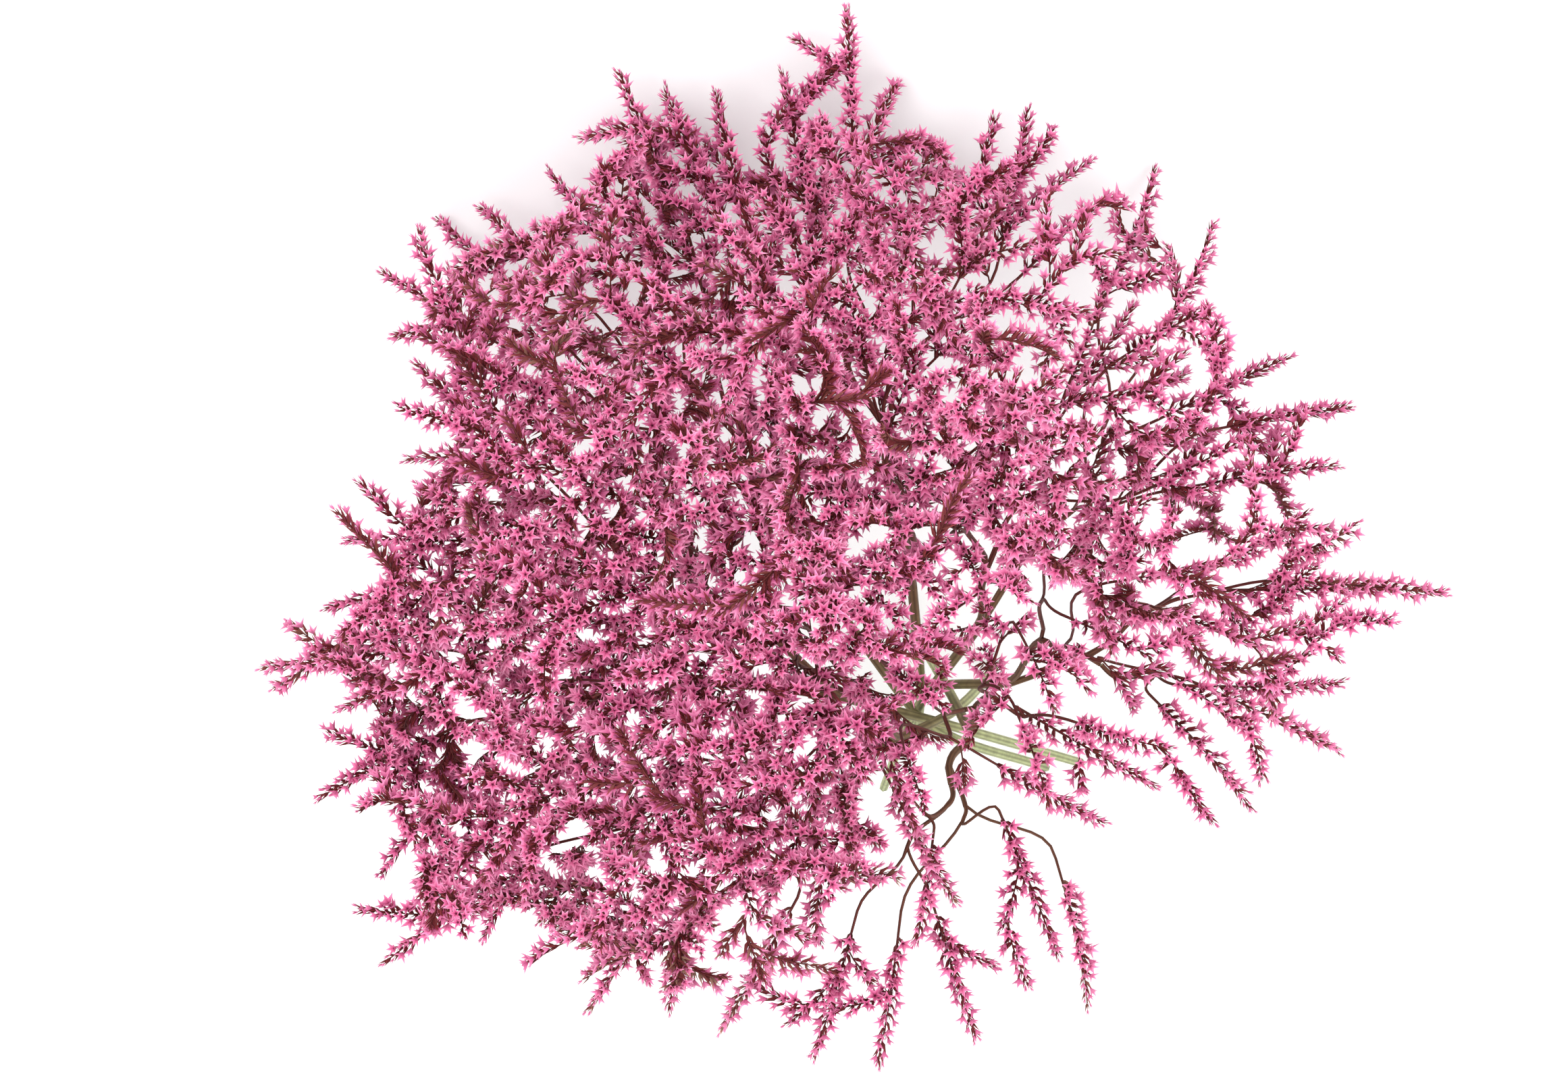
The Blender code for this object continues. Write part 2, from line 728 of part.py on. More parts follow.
def build():
    """Grow the bunch, model its nodes and lay it down."""
    plant = grow_bunch()
    pieces = {}
    crowd = Crowd()
    limb_pieces(plant, pieces, crowd)
    floret_pieces(plant, pieces, crowd)
    lay_down([join(name, pieces[name]) for name in sorted(pieces)])


for old in list(bpy.data.objects):
    bpy.data.objects.remove(old)
build()
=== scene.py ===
"""Looks of a dried statice bunch: ridged stems, brown twigs and spikes of pink star florets.

The bunch is grown as its solids are, by the same rule and the same draws, so that every twig lies
in its own solid. Each solid is then replaced by a finer piece: its twigs as slimmer tubes, and its
few large stars as spikes of small florets, each star out of three maroon bracts.
"""
import json
import math
import random

import bmesh
import bpy
import numpy as np
from mathutils import Matrix, Vector
from mathutils.geometry import interpolate_bezier
from mathutils.noise import noise as perlin

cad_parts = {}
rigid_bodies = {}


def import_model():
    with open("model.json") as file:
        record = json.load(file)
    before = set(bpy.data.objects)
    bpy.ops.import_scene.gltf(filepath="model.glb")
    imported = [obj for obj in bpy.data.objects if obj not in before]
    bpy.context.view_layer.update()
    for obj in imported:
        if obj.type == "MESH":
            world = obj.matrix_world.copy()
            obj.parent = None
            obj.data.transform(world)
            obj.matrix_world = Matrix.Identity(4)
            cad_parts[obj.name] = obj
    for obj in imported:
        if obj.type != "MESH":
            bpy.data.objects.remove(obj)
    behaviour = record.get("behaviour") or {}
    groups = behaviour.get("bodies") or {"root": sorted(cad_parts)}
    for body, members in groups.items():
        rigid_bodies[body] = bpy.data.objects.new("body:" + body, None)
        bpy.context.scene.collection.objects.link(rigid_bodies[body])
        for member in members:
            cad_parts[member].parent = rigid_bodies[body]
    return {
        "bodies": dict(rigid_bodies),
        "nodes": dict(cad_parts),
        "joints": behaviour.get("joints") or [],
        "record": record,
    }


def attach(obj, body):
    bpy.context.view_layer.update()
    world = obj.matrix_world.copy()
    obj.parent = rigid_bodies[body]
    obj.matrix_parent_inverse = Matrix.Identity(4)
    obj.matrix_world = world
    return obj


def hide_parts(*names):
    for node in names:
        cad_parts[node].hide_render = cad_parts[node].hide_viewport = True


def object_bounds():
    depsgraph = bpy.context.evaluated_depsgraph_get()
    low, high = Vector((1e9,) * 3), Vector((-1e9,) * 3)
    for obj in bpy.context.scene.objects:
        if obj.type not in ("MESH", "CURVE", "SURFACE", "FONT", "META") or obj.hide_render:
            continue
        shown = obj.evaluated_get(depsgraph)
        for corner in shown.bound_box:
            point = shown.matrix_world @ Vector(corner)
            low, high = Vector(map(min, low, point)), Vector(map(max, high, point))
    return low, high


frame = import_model()
cad_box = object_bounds()

SEED = 11

# Stems: the middle of each cut end, below the waist where they cross, and where each one's head
# lies, seen from above.
CUT_ENDS = [
    (-0.015, -0.039, -0.150),
    (-0.005, -0.024, -0.150),
    (0.050, -0.031, -0.150),
    (0.064, -0.029, -0.148),
    (0.028, 0.010, -0.124),
    (-0.004, 0.024, -0.112),
    (-0.022, -0.012, -0.130),
]
HEADS = [
    (0.075, 0.125),
    (-0.025, 0.170),
    (-0.115, 0.135),
    (-0.145, 0.040),
    (-0.085, -0.035),
    (0.025, -0.045),
    (0.100, 0.020),
]
WAIST_RADIUS = 0.0070
WAIST_PLACES = [3, 2, 4, 5, 6, 0, 1]
WAIST_TURN = math.radians(36)
LOWER_HANDLE_SHARE = 0.35
BELOW_WAIST = 0.045
ABOVE_WAIST = 0.018
FIRST_FORK_HEIGHT = 0.048
FIRST_FORK_SHARE = 0.24
FIRST_FORK_KEEP = 0.5
HEAD_HEIGHT = 0.150

# The crown is a dome over the waist, leaning towards +Y, where its rim dips.
CROWN_CENTRE = (-0.032, 0.062)
CROWN_REACH = (0.178, 0.160)
CROWN_TOP = 0.235
RIM_HEIGHT = 0.095
RIM_DIP = 0.050
CROWN_HEART = (-0.020, 0.040, 0.030)
CROWN_SPRIGS = 62
CROWN_FILL = 0.90
CROWN_DEPTH = 0.034

# The photograph's view, in its own pixels: its middle, its focal length, its width and height, and
# the crown's middle; then the width of the camera's sensor in millimetres, and the eye's place over
# the waist, in metres as all heights are.
PHOTO_MIDDLE = (1161.0, 798.0)
PHOTO_FOCAL = 5909.0
PHOTO_WIDTH = 2322
PHOTO_HEIGHT = 1596
PHOTO_CROWN = Vector((1230.0, 830.0))
SENSOR = 36.0
EYE = (-0.0550, 0.0606, 1.450)

# Tips of the sprigs that make the outline: pixel across, pixel down, height.
RIM_TIPS = [
    (1255, 15, 0.072), (1160, 112, 0.062), (1520, 165, 0.036), (1615, 240, 0.024),
    (1710, 245, 0.008), (1795, 330, 0.030), (1905, 530, 0.045), (1675, 455, 0.090),
    (1995, 605, 0.060), (1975, 690, 0.080), (2055, 870, 0.080), (2140, 880, 0.085),
    (1985, 1010, 0.095), (1980, 1110, 0.095), (1850, 1195, 0.095), (1705, 1160, 0.110),
    (1630, 1215, 0.105), (1565, 1410, 0.095), (1415, 1335, 0.100), (1355, 1225, 0.120),
    (1610, 1485, 0.085), (1445, 1535, 0.080), (1300, 1570, 0.080), (1205, 1565, 0.085),
    (1070, 1520, 0.090), (990, 1495, 0.090), (875, 1490, 0.085), (720, 1385, 0.090),
    (570, 1425, 0.085), (565, 1295, 0.095), (475, 1180, 0.095), (505, 1050, 0.105),
    (392, 988, 0.095), (485, 900, 0.100), (520, 800, 0.100), (610, 680, 0.095),
    (620, 540, 0.080), (570, 405, 0.045), (645, 320, 0.026), (715, 310, 0.042),
    (815, 258, 0.050), (920, 112, 0.070), (985, 135, 0.064), (1060, 140, 0.062),
]

# Open patches, where the photograph shows no florets: pixel across, pixel down, radius.
OPEN_PATCHES = [
    (1390, 370, 34), (1380, 530, 26), (1270, 810, 32), (1425, 1010, 36), (1570, 900, 48),
    (1690, 460, 40), (1050, 985, 26), (980, 1270, 30), (1080, 1350, 30), (1450, 1230, 80),
    (1700, 1250, 110), (1280, 1350, 50),
]

# Sprigs: the straight line from a spike's base to its tip, and the side its florets face.
RIM_SPIKE = 0.052
RIM_LIFT = 0.25
CROWN_SPIKE = 0.040
CROWN_LIFT = 0.55
SPRIG_STRAY = 0.30
FACE_LIFT = 0.6
MIDDLE_REACH = 0.02
MIDDLE_SIDE = (0.7, 0.7, 0.0)

# Limbs: a twig's radius grows with the sprigs it carries, up to a stem's. A spray starts where a
# limb carries few enough, a seam's width beyond the stub that the stem keeps.
SPRAY_SPRIGS = 4
TWIG_RADIUS = 0.00062
STEM_RADIUS = 0.00185
RADIUS_POWER = 0.45
STUB = 0.010
STUB_SHARE = 0.4
SEAM = 0.00035
FORK_SHARE = 0.42
FORK_JITTER = 0.007
FORK_KEEP = 0.6
FORK_SINK = 0.3
SPLIT_TURNS = 12
HANDLE_SHARE = 0.38
LIMB_STEPS = 24
CURVE_STEPS = 8

# How limbs keep clear of other nodes: a curve is bent further at each try.
LIMB_CLEARANCE = 0.0018
SAMPLE_STEP = 0.0025
LEAST_SAMPLES = 4
BEND_TRIES = 24
BEND_STEP = 0.0012

# The core of a spike, bowed to the side of its florets.
SPIKE_RADIUS = 0.0013
SPIKE_HANDLE_SHARE = 0.36
SPIKE_BOW = 0.12
SPIKE_BASE_BOW = 0.4

# Lie: from the upright frame, in which the bunch is grown, to the one in which it lies.
LIE_NORMAL = (0.0995, -0.6008, 0.7932)
LIE_SHIFT = (-0.024885, 0.063139, 0.104564)

# Wood of the stems and twigs: sides of a tube, depth of its ridges, how much slimmer it is than its
# solid, and the distances from the waist between which it turns from green to brown.
STEM_SIDES = 12
TWIG_SIDES = 6
STEM_RIDGE = 0.84
STEM_SLIM = 0.98
TWIG_SLIM = 0.86
RACHIS_RADIUS = 0.00052
RACHIS_TIP_RADIUS = 0.00022
SIDE_RACHIS_RADIUS = 0.00042
YOUNGEST = -0.06
OLDEST = 0.14
SCALE_SIZE = 0.85

# Side spikes: each is the best of some draws, the one that fills the emptiest part of the
# photograph's view; a draw is a twig, a place on it, a turn away from it and a length.
SIDE_SPIKES = 1650
DRAWS = 20
SIDE_CLEAR = (0.006, 0.003)
SIDE_TURN = (math.radians(24), math.radians(58))
SIDE_LIFT = (-0.35, 0.75)
SIDE_LENGTH = (0.013, 0.033)
SIDE_STEPS = 6
SIDE_SIDES = 4
SIDE_BOW = 0.15
SIDE_SWAY = 0.14
SIDE_HANDLES = (0.2, 0.3)
SIDE_MARGIN = 0.006

# Side spikes whose florets face away from the eye: their share, and a patch, by pixel across, pixel
# down and radius, with a larger share.
BACK_SHARE = 0.06
BACKS_PATCH = (800, 430, 330, 0.30)

# How full the view is: florets are counted in cells of so many pixels, within a reach of so many
# cells. A full crowd is the count where the photograph is densest, and a draw is kept from the
# least need on. The outline within which side spikes are wanted is the rim drawn in by a share.
CELL = 8
CROWD_REACH = 5
FULL_CROWD = 74.0
LEAST_NEED = 0.04
OUTLINE_SHARE = 0.91

# Patches where the photograph shows fewer florets: pixel across, pixel down, radius, share. The
# whole right side is a little airier.
THIN_PATCHES = [
    (1330, 1190, 60, 0.05), (1600, 1320, 330, 0.15), (1190, 1490, 190, 0.26),
    (1470, 990, 180, 0.33), (1110, 170, 90, 0.25), (1450, 190, 70, 0.25),
    (1920, 800, 240, 0.42), (1680, 420, 220, 0.36), (1780, 1080, 200, 0.30),
]
RIGHT_FROM = 1230
RIGHT_SHARE = 0.80

# Spikelets: two rows along a spike, a pitch apart in each, leaning out and forward.
ROW_PITCH = 0.0031
BARE_MAIN = (0.002, 0.012)
BARE_SIDE = (0.003, 0.007)
SPIKELET_LEAN = math.radians(33)
SPIKELET_FORWARD = 0.90
TIP_FORWARD = 1.3
SPIKELET_STRAY = 0.38
PITCH_STRAY = (0.65, 1.35)
SPIKELET_SIZES = (0.78, 1.06)
SPIKELET_ASIDE = 0.6
TIP_SHRINK = 0.35

# Open stars, half-open cups and buds: up to which share of the florets each form goes, and from
# where on along a spike the buds take over.
STARS_UP_TO = 0.68
CUPS_UP_TO = 0.96
BUDDING = 0.82

# One floret, its foot at the origin and its mouth towards +Z: radius and height of the lobes'
# tips and of the notches between them, and the throat's height.
LOBES = 5
STAR = {"tip": (0.00325, 0.0070), "notch": (0.00122, 0.0061), "throat": 0.0044}
CUP = {"tip": (0.00220, 0.0077), "notch": (0.00105, 0.0061), "throat": 0.0048}
BUD = {"tip": (0.00075, 0.0074), "notch": (0.00062, 0.0056), "throat": 0.0052}
FORMS = {"star_1": STAR, "star_2": STAR, "star_3": STAR, "cup_1": CUP, "cup_2": CUP, "bud_1": BUD}
UNEVEN = 0.10
FLORET_MIDDLE = Vector((0.0, 0.0, 0.0060))
FLORET_REACH = 0.0036
NECK_RADIUS = 0.00058
NECK_HEIGHT = 0.0040

# How far a floret's colour has turned from its dark throat or foot to its pink tips.
BLOOM_AT = {"throat": 0.0, "notch": 0.72, "tip": 1.0, "neck": 0.30, "foot": 0.0}

# Three scales hold each floret: turn about it, half width, length and lean, angles in degrees.
BRACTS = [
    (0.0, 0.00084, 0.0060, 15.0),
    (150.0, 0.00064, 0.0050, 9.0),
    (240.0, 0.00058, 0.0057, 12.0),
]
BRACT_WAIST = 0.0016
BRACT_FLATTEN = 0.55
BRACT_OUT = 0.00025

# Dry plant matter hardly shines, and is rough.
DULL = 0.22
WOOD_ROUGHNESS = 0.62
PITH_ROUGHNESS = 0.85
BRACT_ROUGHNESS = 0.60
PETAL_ROUGHNESS = 0.70
FLOOR_ROUGHNESS = 0.90

# Fineness of the patterns, as waves to a metre. A grain also has a strength and a depth in metres.
WOOD_PATCHES = 240.0
PITH_PATCHES = 900.0
WOOD_GRAIN = (1500.0, 0.4, 0.0002)
PETAL_GRAIN = (2600.0, 0.25, 0.0001)

# How the dye took: by patches of the crown, so fine and so strong, and from floret to floret.
DYE_PATCHES = 22.0
DYE_PATCH_STRENGTH = 0.45
DYE_STRAY = 0.22

# The map that a spray's piece keeps: a square of cells, one for each tint of floret, with its
# last row for the wood. In a cell: the middles of the star's face and of its outside and how far
# each spreads, the heights between which the scales stand, and how far they spread and lean over.
# In the last row: where the two ends of a tube lie, and from where on its bark does.
MAP = "OFBake"
MAP_SIDE = 8
TINTS = MAP_SIDE * (MAP_SIDE - 1)
FACE_SPOT = (0.25, 0.74)
OUTSIDE_SPOT = (0.75, 0.74)
STAR_SPREAD = 0.24
MAP_REACH = {"throat": 0.0, "notch": 0.42, "tip": 1.0, "neck": 0.18, "foot": 0.0}
SCALE_ROW = (0.02, 0.44)
SCALE_SPREAD = 0.42
SCALE_SKEW = 0.35
END_SPOT = (0.02, 0.5)
END_SPREAD = (0.015, 0.4)
BARK_FROM = 0.05

# Slots of every piece's mesh.
WOOD, PITH, BRACT, PETAL, CALYX = range(5)

# What is nearer than this to the surface that the bunch lies on counts as on it.
ON_SURFACE = 1e-7

# The studio: the floor's half width and colour, the light from all round, where the lamps aim, each
# lamp's place, width and power, and the nearest and farthest that the eye sees.
FLOOR_REACH = 6.0
FLOOR_COLOUR = (0.93, 0.93, 0.935, 1.0)
SKY_COLOUR = (1.0, 1.0, 1.0, 1.0)
SKY_STRENGTH = 1.15
LAMP_AIM = Vector((0.0, 0.0, 0.1))
KEY_LAMP = ((0.5, -1.3, 1.5), 1.4, 22.0)
FILL_LAMP = ((-0.8, -0.2, 1.8), 1.4, 8.0)
EYE_RANGE = (0.05, 20.0)


def from_photo(across, down, height):
    """The point at this height that the photograph shows at this pixel."""
    spread = (EYE[2] - height) / PHOTO_FOCAL
    x = EYE[0] + (across - PHOTO_MIDDLE[0]) * spread
    y = EYE[1] + (PHOTO_MIDDLE[1] - down) * spread
    return Vector((x, y, height))


def in_photo(point):
    """The pixel at which the photograph shows a point."""
    scale = PHOTO_FOCAL / (EYE[2] - point.z)
    across = PHOTO_MIDDLE[0] + (point.x - EYE[0]) * scale
    down = PHOTO_MIDDLE[1] - (point.y - EYE[1]) * scale
    return Vector((across, down))


def crown_height(x, y):
    """Height of the crown's surface over this spot."""
    across = (x - CROWN_CENTRE[0]) / CROWN_REACH[0]
    along = (y - CROWN_CENTRE[1]) / CROWN_REACH[1]
    rim = RIM_HEIGHT - RIM_DIP * max(0.0, along)
    return rim + (CROWN_TOP - rim) * max(0.0, 1.0 - across * across - along * along)


def make_sprig(tip, length, lift, chance):
    """A spike's tip, base, direction and the side on which its florets stand."""
    outward = (tip - Vector(CROWN_HEART)).normalized()
    level = Vector((tip.x - CROWN_CENTRE[0], tip.y - CROWN_CENTRE[1], 0.0))
    level = level.normalized() if level.length > MIDDLE_REACH else Vector(MIDDLE_SIDE)
    stray = Vector([chance.uniform(-1.0, 1.0) for _ in range(3)])
    aim = (level * (1.0 - lift) + outward * lift + stray * SPRIG_STRAY).normalized()
    face = outward + Vector((0.0, 0.0, FACE_LIFT))
    face = (face - aim * face.dot(aim)).normalized()
    return {"tip": tip, "base": tip - aim * length, "aim": aim, "face": face, "length": length}


def rim_sprigs(chance):
    """The sprigs of the outline."""
    return [make_sprig(from_photo(*tip), RIM_SPIKE, RIM_LIFT, chance) for tip in RIM_TIPS]


def crown_sprigs(chance):
    """Sprigs over the dome, in the turn of a sunflower, but for the open patches."""
    golden_angle = math.pi * (3.0 - math.sqrt(5.0))
    sprigs = []
    for number in range(CROWN_SPRIGS):
        out = CROWN_FILL * math.sqrt((number + 0.5) / CROWN_SPRIGS)
        turn = golden_angle * number
        x = CROWN_CENTRE[0] + CROWN_REACH[0] * out * math.cos(turn)
        y = CROWN_CENTRE[1] + CROWN_REACH[1] * out * math.sin(turn)
        sunk = CROWN_DEPTH * chance.random()
        tip = Vector((x, y, crown_height(x, y) - sunk))
        sprig = make_sprig(tip, CROWN_SPIKE, CROWN_LIFT, chance)
        middle = in_photo(tip.lerp(sprig["base"], 0.5))
        if all((middle - Vector(patch[:2])).length > patch[2] for patch in OPEN_PATCHES):
            sprigs.append(sprig)
    return sprigs


def head_of(sprig):
    """Number of the stem whose head is nearest."""
    place = Vector(sprig["base"][:2])
    gaps = [(place - Vector(head)).length for head in HEADS]
    return gaps.index(min(gaps))


def limb_radius(carried):
    """A limb is thicker the more sprigs it carries."""
    return min(STEM_RADIUS, TWIG_RADIUS * carried ** RADIUS_POWER)


class Plant:
    """The limbs and spikes of the whole bunch, and what they keep clear of."""

    def __init__(self, chance):
        self.chance = chance
        self.limbs = []
        self.spikes = []
        self.sprays = 0
        self.samples = np.zeros((0, 4))
        self.owners = np.zeros(0, dtype=int)
        self.nodes = []

    def number_of(self, node):
        """A number that stands for a node among the owners."""
        if node not in self.nodes:
            self.nodes.append(node)
        return self.nodes.index(node)

    def gap(self, points, radius, node):
        """Least clearance of a row of points to the limbs of other nodes."""
        row = np.array([point[:] for point in points if (point - points[0]).length > STUB])
        other = self.samples[self.owners != self.number_of(node)]
        if not len(row) or not len(other):
            return math.inf
        apart = np.linalg.norm(row[:, None, :] - other[None, :, :3], axis=2)
        return float((apart - other[None, :, 3] - radius).min())

    def keep(self, points, radius, node):
        """Remember where a limb runs."""
        rows = np.array([[*point, radius] for point in points])
        self.samples = np.vstack([self.samples, rows])
        self.owners = np.concatenate([self.owners, np.full(len(rows), self.number_of(node))])

    def new_limb(self, node, start, radius):
        """A limb that so far has only its first point."""
        limb = {"node": node, "points": [start], "radii": [radius]}
        self.limbs.append(limb)
        return limb

    def new_spray(self, start, radius):
        """The first limb of a spray."""
        self.sprays += 1
        return self.new_limb("spray_%02d" % self.sprays, start, radius)


def sampled(curve):
    """Close points along a curve, given by its ends and handles."""
    steps = max(LEAST_SAMPLES, int((curve[3] - curve[0]).length / SAMPLE_STEP))
    return interpolate_bezier(*curve, steps)


def clear_curve(plant, node, start, heading, end, arrival, radius):
    """A smooth curve between two points that keeps off the limbs of other nodes."""
    reach = (end - start).length * HANDLE_SHARE
    best = None
    for attempt in range(BEND_TRIES):
        push = BEND_STEP * attempt
        aside = Vector([plant.chance.uniform(-push, push) for _ in range(3)])
        curve = (start, start + heading * reach + aside, end - arrival * reach + aside, end)
        gap = plant.gap(sampled(curve), radius, node)
        if best is None or gap > best[0]:
            best = (gap, curve)
        if gap > LIMB_CLEARANCE:
            break
    return best[1]


def middle_of(sprigs):
    """The middle of the sprigs' bases."""
    return sum((sprig["base"] for sprig in sprigs), Vector()) / len(sprigs)


def part_in_two(sprigs, fork, heading):
    """Two halves of the sprigs, parted by the plane across which they spread the most."""
    side = heading.orthogonal().normalized()
    spots = [sprig["base"] - fork for sprig in sprigs]
    widest = None
    for step in range(SPLIT_TURNS):
        across = Matrix.Rotation(math.pi * step / SPLIT_TURNS, 3, heading) @ side
        marks = [spot.dot(across) for spot in spots]
        spread = max(marks) - min(marks)
        if widest is None or spread > widest[0]:
            widest = (spread, marks)
    order = sorted(range(len(sprigs)), key=lambda number: widest[1][number])
    half = (len(sprigs) + 1) // 2
    parts = [order[:half], order[half:]]
    return [[sprigs[number] for number in part] for part in parts]


def run_on(limb, points, radius):
    """Lengthen a limb through these points."""
    limb["points"] += points
    limb["radii"] += [radius] * len(points)


def end_in_spike(plant, limb, sprig):
    """Carry a limb on as the core of a spike, bowed to the side of its florets."""
    handle = sprig["aim"] * sprig["length"] * SPIKE_HANDLE_SHARE
    bow = sprig["face"] * sprig["length"] * SPIKE_BOW
    base, tip = sprig["base"], sprig["tip"]
    curve = (base, base + handle + bow * SPIKE_BASE_BOW, tip - handle + bow, tip)
    plant.keep(sampled(curve), SPIKE_RADIUS, limb["node"])
    points = interpolate_bezier(*curve, CURVE_STEPS + 1)
    plant.spikes.append({"limb": limb, "points": points, "face": sprig["face"]})
    run_on(limb, points[1:], SPIKE_RADIUS)


def grow(plant, limb, heading, sprigs):
    """Lengthen a limb to its next fork, and fork on until each twig ends in one spike."""
    carried = len(sprigs)
    radius = limb_radius(carried)
    start = limb["points"][-1]
    if carried == 1:
        end = sprigs[0]["base"]
        arrival = sprigs[0]["aim"]
    else:
        middle = middle_of(sprigs)
        jitter = Vector([plant.chance.uniform(-FORK_JITTER, FORK_JITTER) for _ in range(3)])
        end = start.lerp(middle, FORK_SHARE) + jitter
        arrival = (middle - end).normalized()
    becomes_spray = limb["node"].startswith("stem") and carried <= SPRAY_SPRIGS
    node = "spray_%02d" % (plant.sprays + 1) if becomes_spray else limb["node"]
    curve = clear_curve(plant, node, start, heading, end, arrival, radius)
    plant.keep(sampled(curve), radius, node)
    points = interpolate_bezier(*curve, LIMB_STEPS + 1)
    if becomes_spray:
        cut = round(min(STUB / (end - start).length, STUB_SHARE) * LIMB_STEPS)
        run_on(limb, [points[cut]], radius)
        lead = (points[cut] - start).normalized()
        points = [points[cut] + lead * SEAM] + points[cut + 1:]
        limb = plant.new_spray(points[0], radius)
    run_on(limb, thin_out(points, CURVE_STEPS + 1)[1:], radius)
    if carried == 1:
        end_in_spike(plant, limb, sprigs[0])
        return
    first, second = part_in_two(sprigs, end, arrival)
    grow(plant, limb, arrival, first)
    sunk = end - arrival * radius * FORK_SINK
    branch = plant.new_limb(limb["node"], sunk, limb_radius(len(second)))
    leave = (arrival * FORK_KEEP + (middle_of(second) - end).normalized()).normalized()
    grow(plant, branch, leave, second)


def thin_out(points, count):
    """So many points of a row, evenly chosen, with both ends."""
    return [points[round(number * (len(points) - 1) / (count - 1))] for number in range(count)]


def trunk(plant, number):
    """One stem, from its cut end past the waist to its first fork, and its heading there."""
    cut, head = CUT_ENDS[number], HEADS[number]
    node = "stem_%d" % (number + 1)
    low = Vector(cut)
    turn = WAIST_TURN + math.tau * WAIST_PLACES[number] / len(HEADS)
    waist = Vector((math.cos(turn), math.sin(turn), 0.0)) * WAIST_RADIUS
    far = Vector((*head, HEAD_HEIGHT))
    fork = waist.lerp(far, FIRST_FORK_SHARE)
    fork.z = FIRST_FORK_HEIGHT
    heading = (far - fork).normalized()
    through = (fork - low).normalized()
    lower = (low, low.lerp(waist, LOWER_HANDLE_SHARE), waist - through * BELOW_WAIST, waist)
    upper = (waist, waist + through * ABOVE_WAIST, fork - heading * ABOVE_WAIST, fork)
    limb = plant.new_limb(node, low, STEM_RADIUS)
    for curve in (lower, upper):
        plant.keep(sampled(curve), STEM_RADIUS, node)
        run_on(limb, interpolate_bezier(*curve, CURVE_STEPS + 1)[1:], STEM_RADIUS)
    return limb, heading


def grow_bunch():
    """All the stems with what they carry."""
    chance = random.Random(SEED)
    plant = Plant(chance)
    sprigs = rim_sprigs(chance) + crown_sprigs(chance)
    trunks = [trunk(plant, number) for number in range(len(HEADS))]
    for number, (limb, heading) in enumerate(trunks):
        share = [sprig for sprig in sprigs if head_of(sprig) == number]
        fork = limb["points"][-1]
        halves = part_in_two(share, fork, heading)
        side = plant.new_limb(limb["node"], fork - heading * STEM_RADIUS, STEM_RADIUS)
        for branch, half in zip((limb, side), halves):
            leave = (heading * FIRST_FORK_KEEP + (middle_of(half) - fork).normalized()).normalized()
            grow(plant, branch, leave, half)
    return plant


def lie():
    """From the frame in which the bunch is grown to the one in which it lies."""
    up = Vector(LIE_NORMAL).normalized()
    back = (up * up.z - Vector((0.0, 0.0, 1.0))).normalized()
    turn = Matrix((back.cross(up), back, up)).to_4x4()
    return Matrix.Translation(LIE_SHIFT) @ turn


def new_finish(name, roughness):
    """A material, its node tree and its shader."""
    finish = bpy.data.materials.new(name)
    finish.use_nodes = True
    tree = finish.node_tree
    shader = tree.nodes["Principled BSDF"]
    shader.inputs["Roughness"].default_value = roughness
    shader.inputs["Specular IOR Level"].default_value = DULL
    return finish, tree, shader


def colour_ramp(tree, source, stops):
    """A ramp of colours over a number."""
    ramp = tree.nodes.new("ShaderNodeValToRGB")
    while len(ramp.color_ramp.elements) < len(stops):
        ramp.color_ramp.elements.new(0.5)
    for element, (place, colour) in zip(ramp.color_ramp.elements, stops):
        element.position = place
        element.color = (*colour, 1.0)
    tree.links.new(source, ramp.inputs["Fac"])
    return ramp.outputs["Color"]


def noise(tree, scale, detail):
    """Noise over the object, as a number."""
    where = tree.nodes.new("ShaderNodeTexCoord")
    pattern = tree.nodes.new("ShaderNodeTexNoise")
    pattern.inputs["Scale"].default_value = scale
    pattern.inputs["Detail"].default_value = detail
    tree.links.new(where.outputs["Object"], pattern.inputs["Vector"])
    return pattern.outputs["Fac"]


def attribute(tree, name):
    """A number kept at the mesh's points."""
    source = tree.nodes.new("ShaderNodeAttribute")
    source.attribute_name = name
    return source.outputs["Fac"]


def shaded(tree, colour, shade):
    """A colour multiplied by another."""
    mix = tree.nodes.new("ShaderNodeMix")
    mix.data_type = "RGBA"
    mix.blend_type = "MULTIPLY"
    mix.inputs["Factor"].default_value = 1.0
    tree.links.new(colour, mix.inputs["A"])
    tree.links.new(shade, mix.inputs["B"])
    return mix.outputs["Result"]


def grain(tree, shader, fineness, strength, depth):
    """A fine relief over the object."""
    relief = tree.nodes.new("ShaderNodeBump")
    relief.inputs["Strength"].default_value = strength
    relief.inputs["Distance"].default_value = depth
    tree.links.new(noise(tree, fineness, 2.0), relief.inputs["Height"])
    tree.links.new(relief.outputs["Normal"], shader.inputs["Normal"])


def wood_finish(name):
    """Wood: pale green at the cut end, olive above the waist, brown-maroon in the twigs, with painted
    shade in its grooves and painted light along its ridges.
    """
    finish, tree, shader = new_finish(name, WOOD_ROUGHNESS)
    colour = colour_ramp(tree, attribute(tree, "age"), [
        (0.0, (0.40, 0.45, 0.23)),
        (0.30, (0.30, 0.31, 0.14)),
        (0.55, (0.165, 0.100, 0.050)),
        (0.85, (0.115, 0.026, 0.019)),
        (1.0, (0.110, 0.018, 0.017)),
    ])
    patches = colour_ramp(tree, noise(tree, WOOD_PATCHES, 3.0), [
        (0.30, (0.80, 0.76, 0.74)),
        (0.70, (1.12, 1.10, 1.06)),
    ])
    # Painted shade and light: the wood is darkened in the grooves and lightened on the ridges' crests,
    # where light and shade would fall.
    painted_groove_shade_and_ridge_light = colour_ramp(tree, attribute(tree, "ridge"), [
        (0.15, (0.62, 0.60, 0.58)),
        (0.75, (1.15, 1.15, 1.12)),
    ])
    colour = shaded(tree, shaded(tree, colour, patches), painted_groove_shade_and_ridge_light)
    tree.links.new(colour, shader.inputs["Base Color"])
    return finish, tree, shader


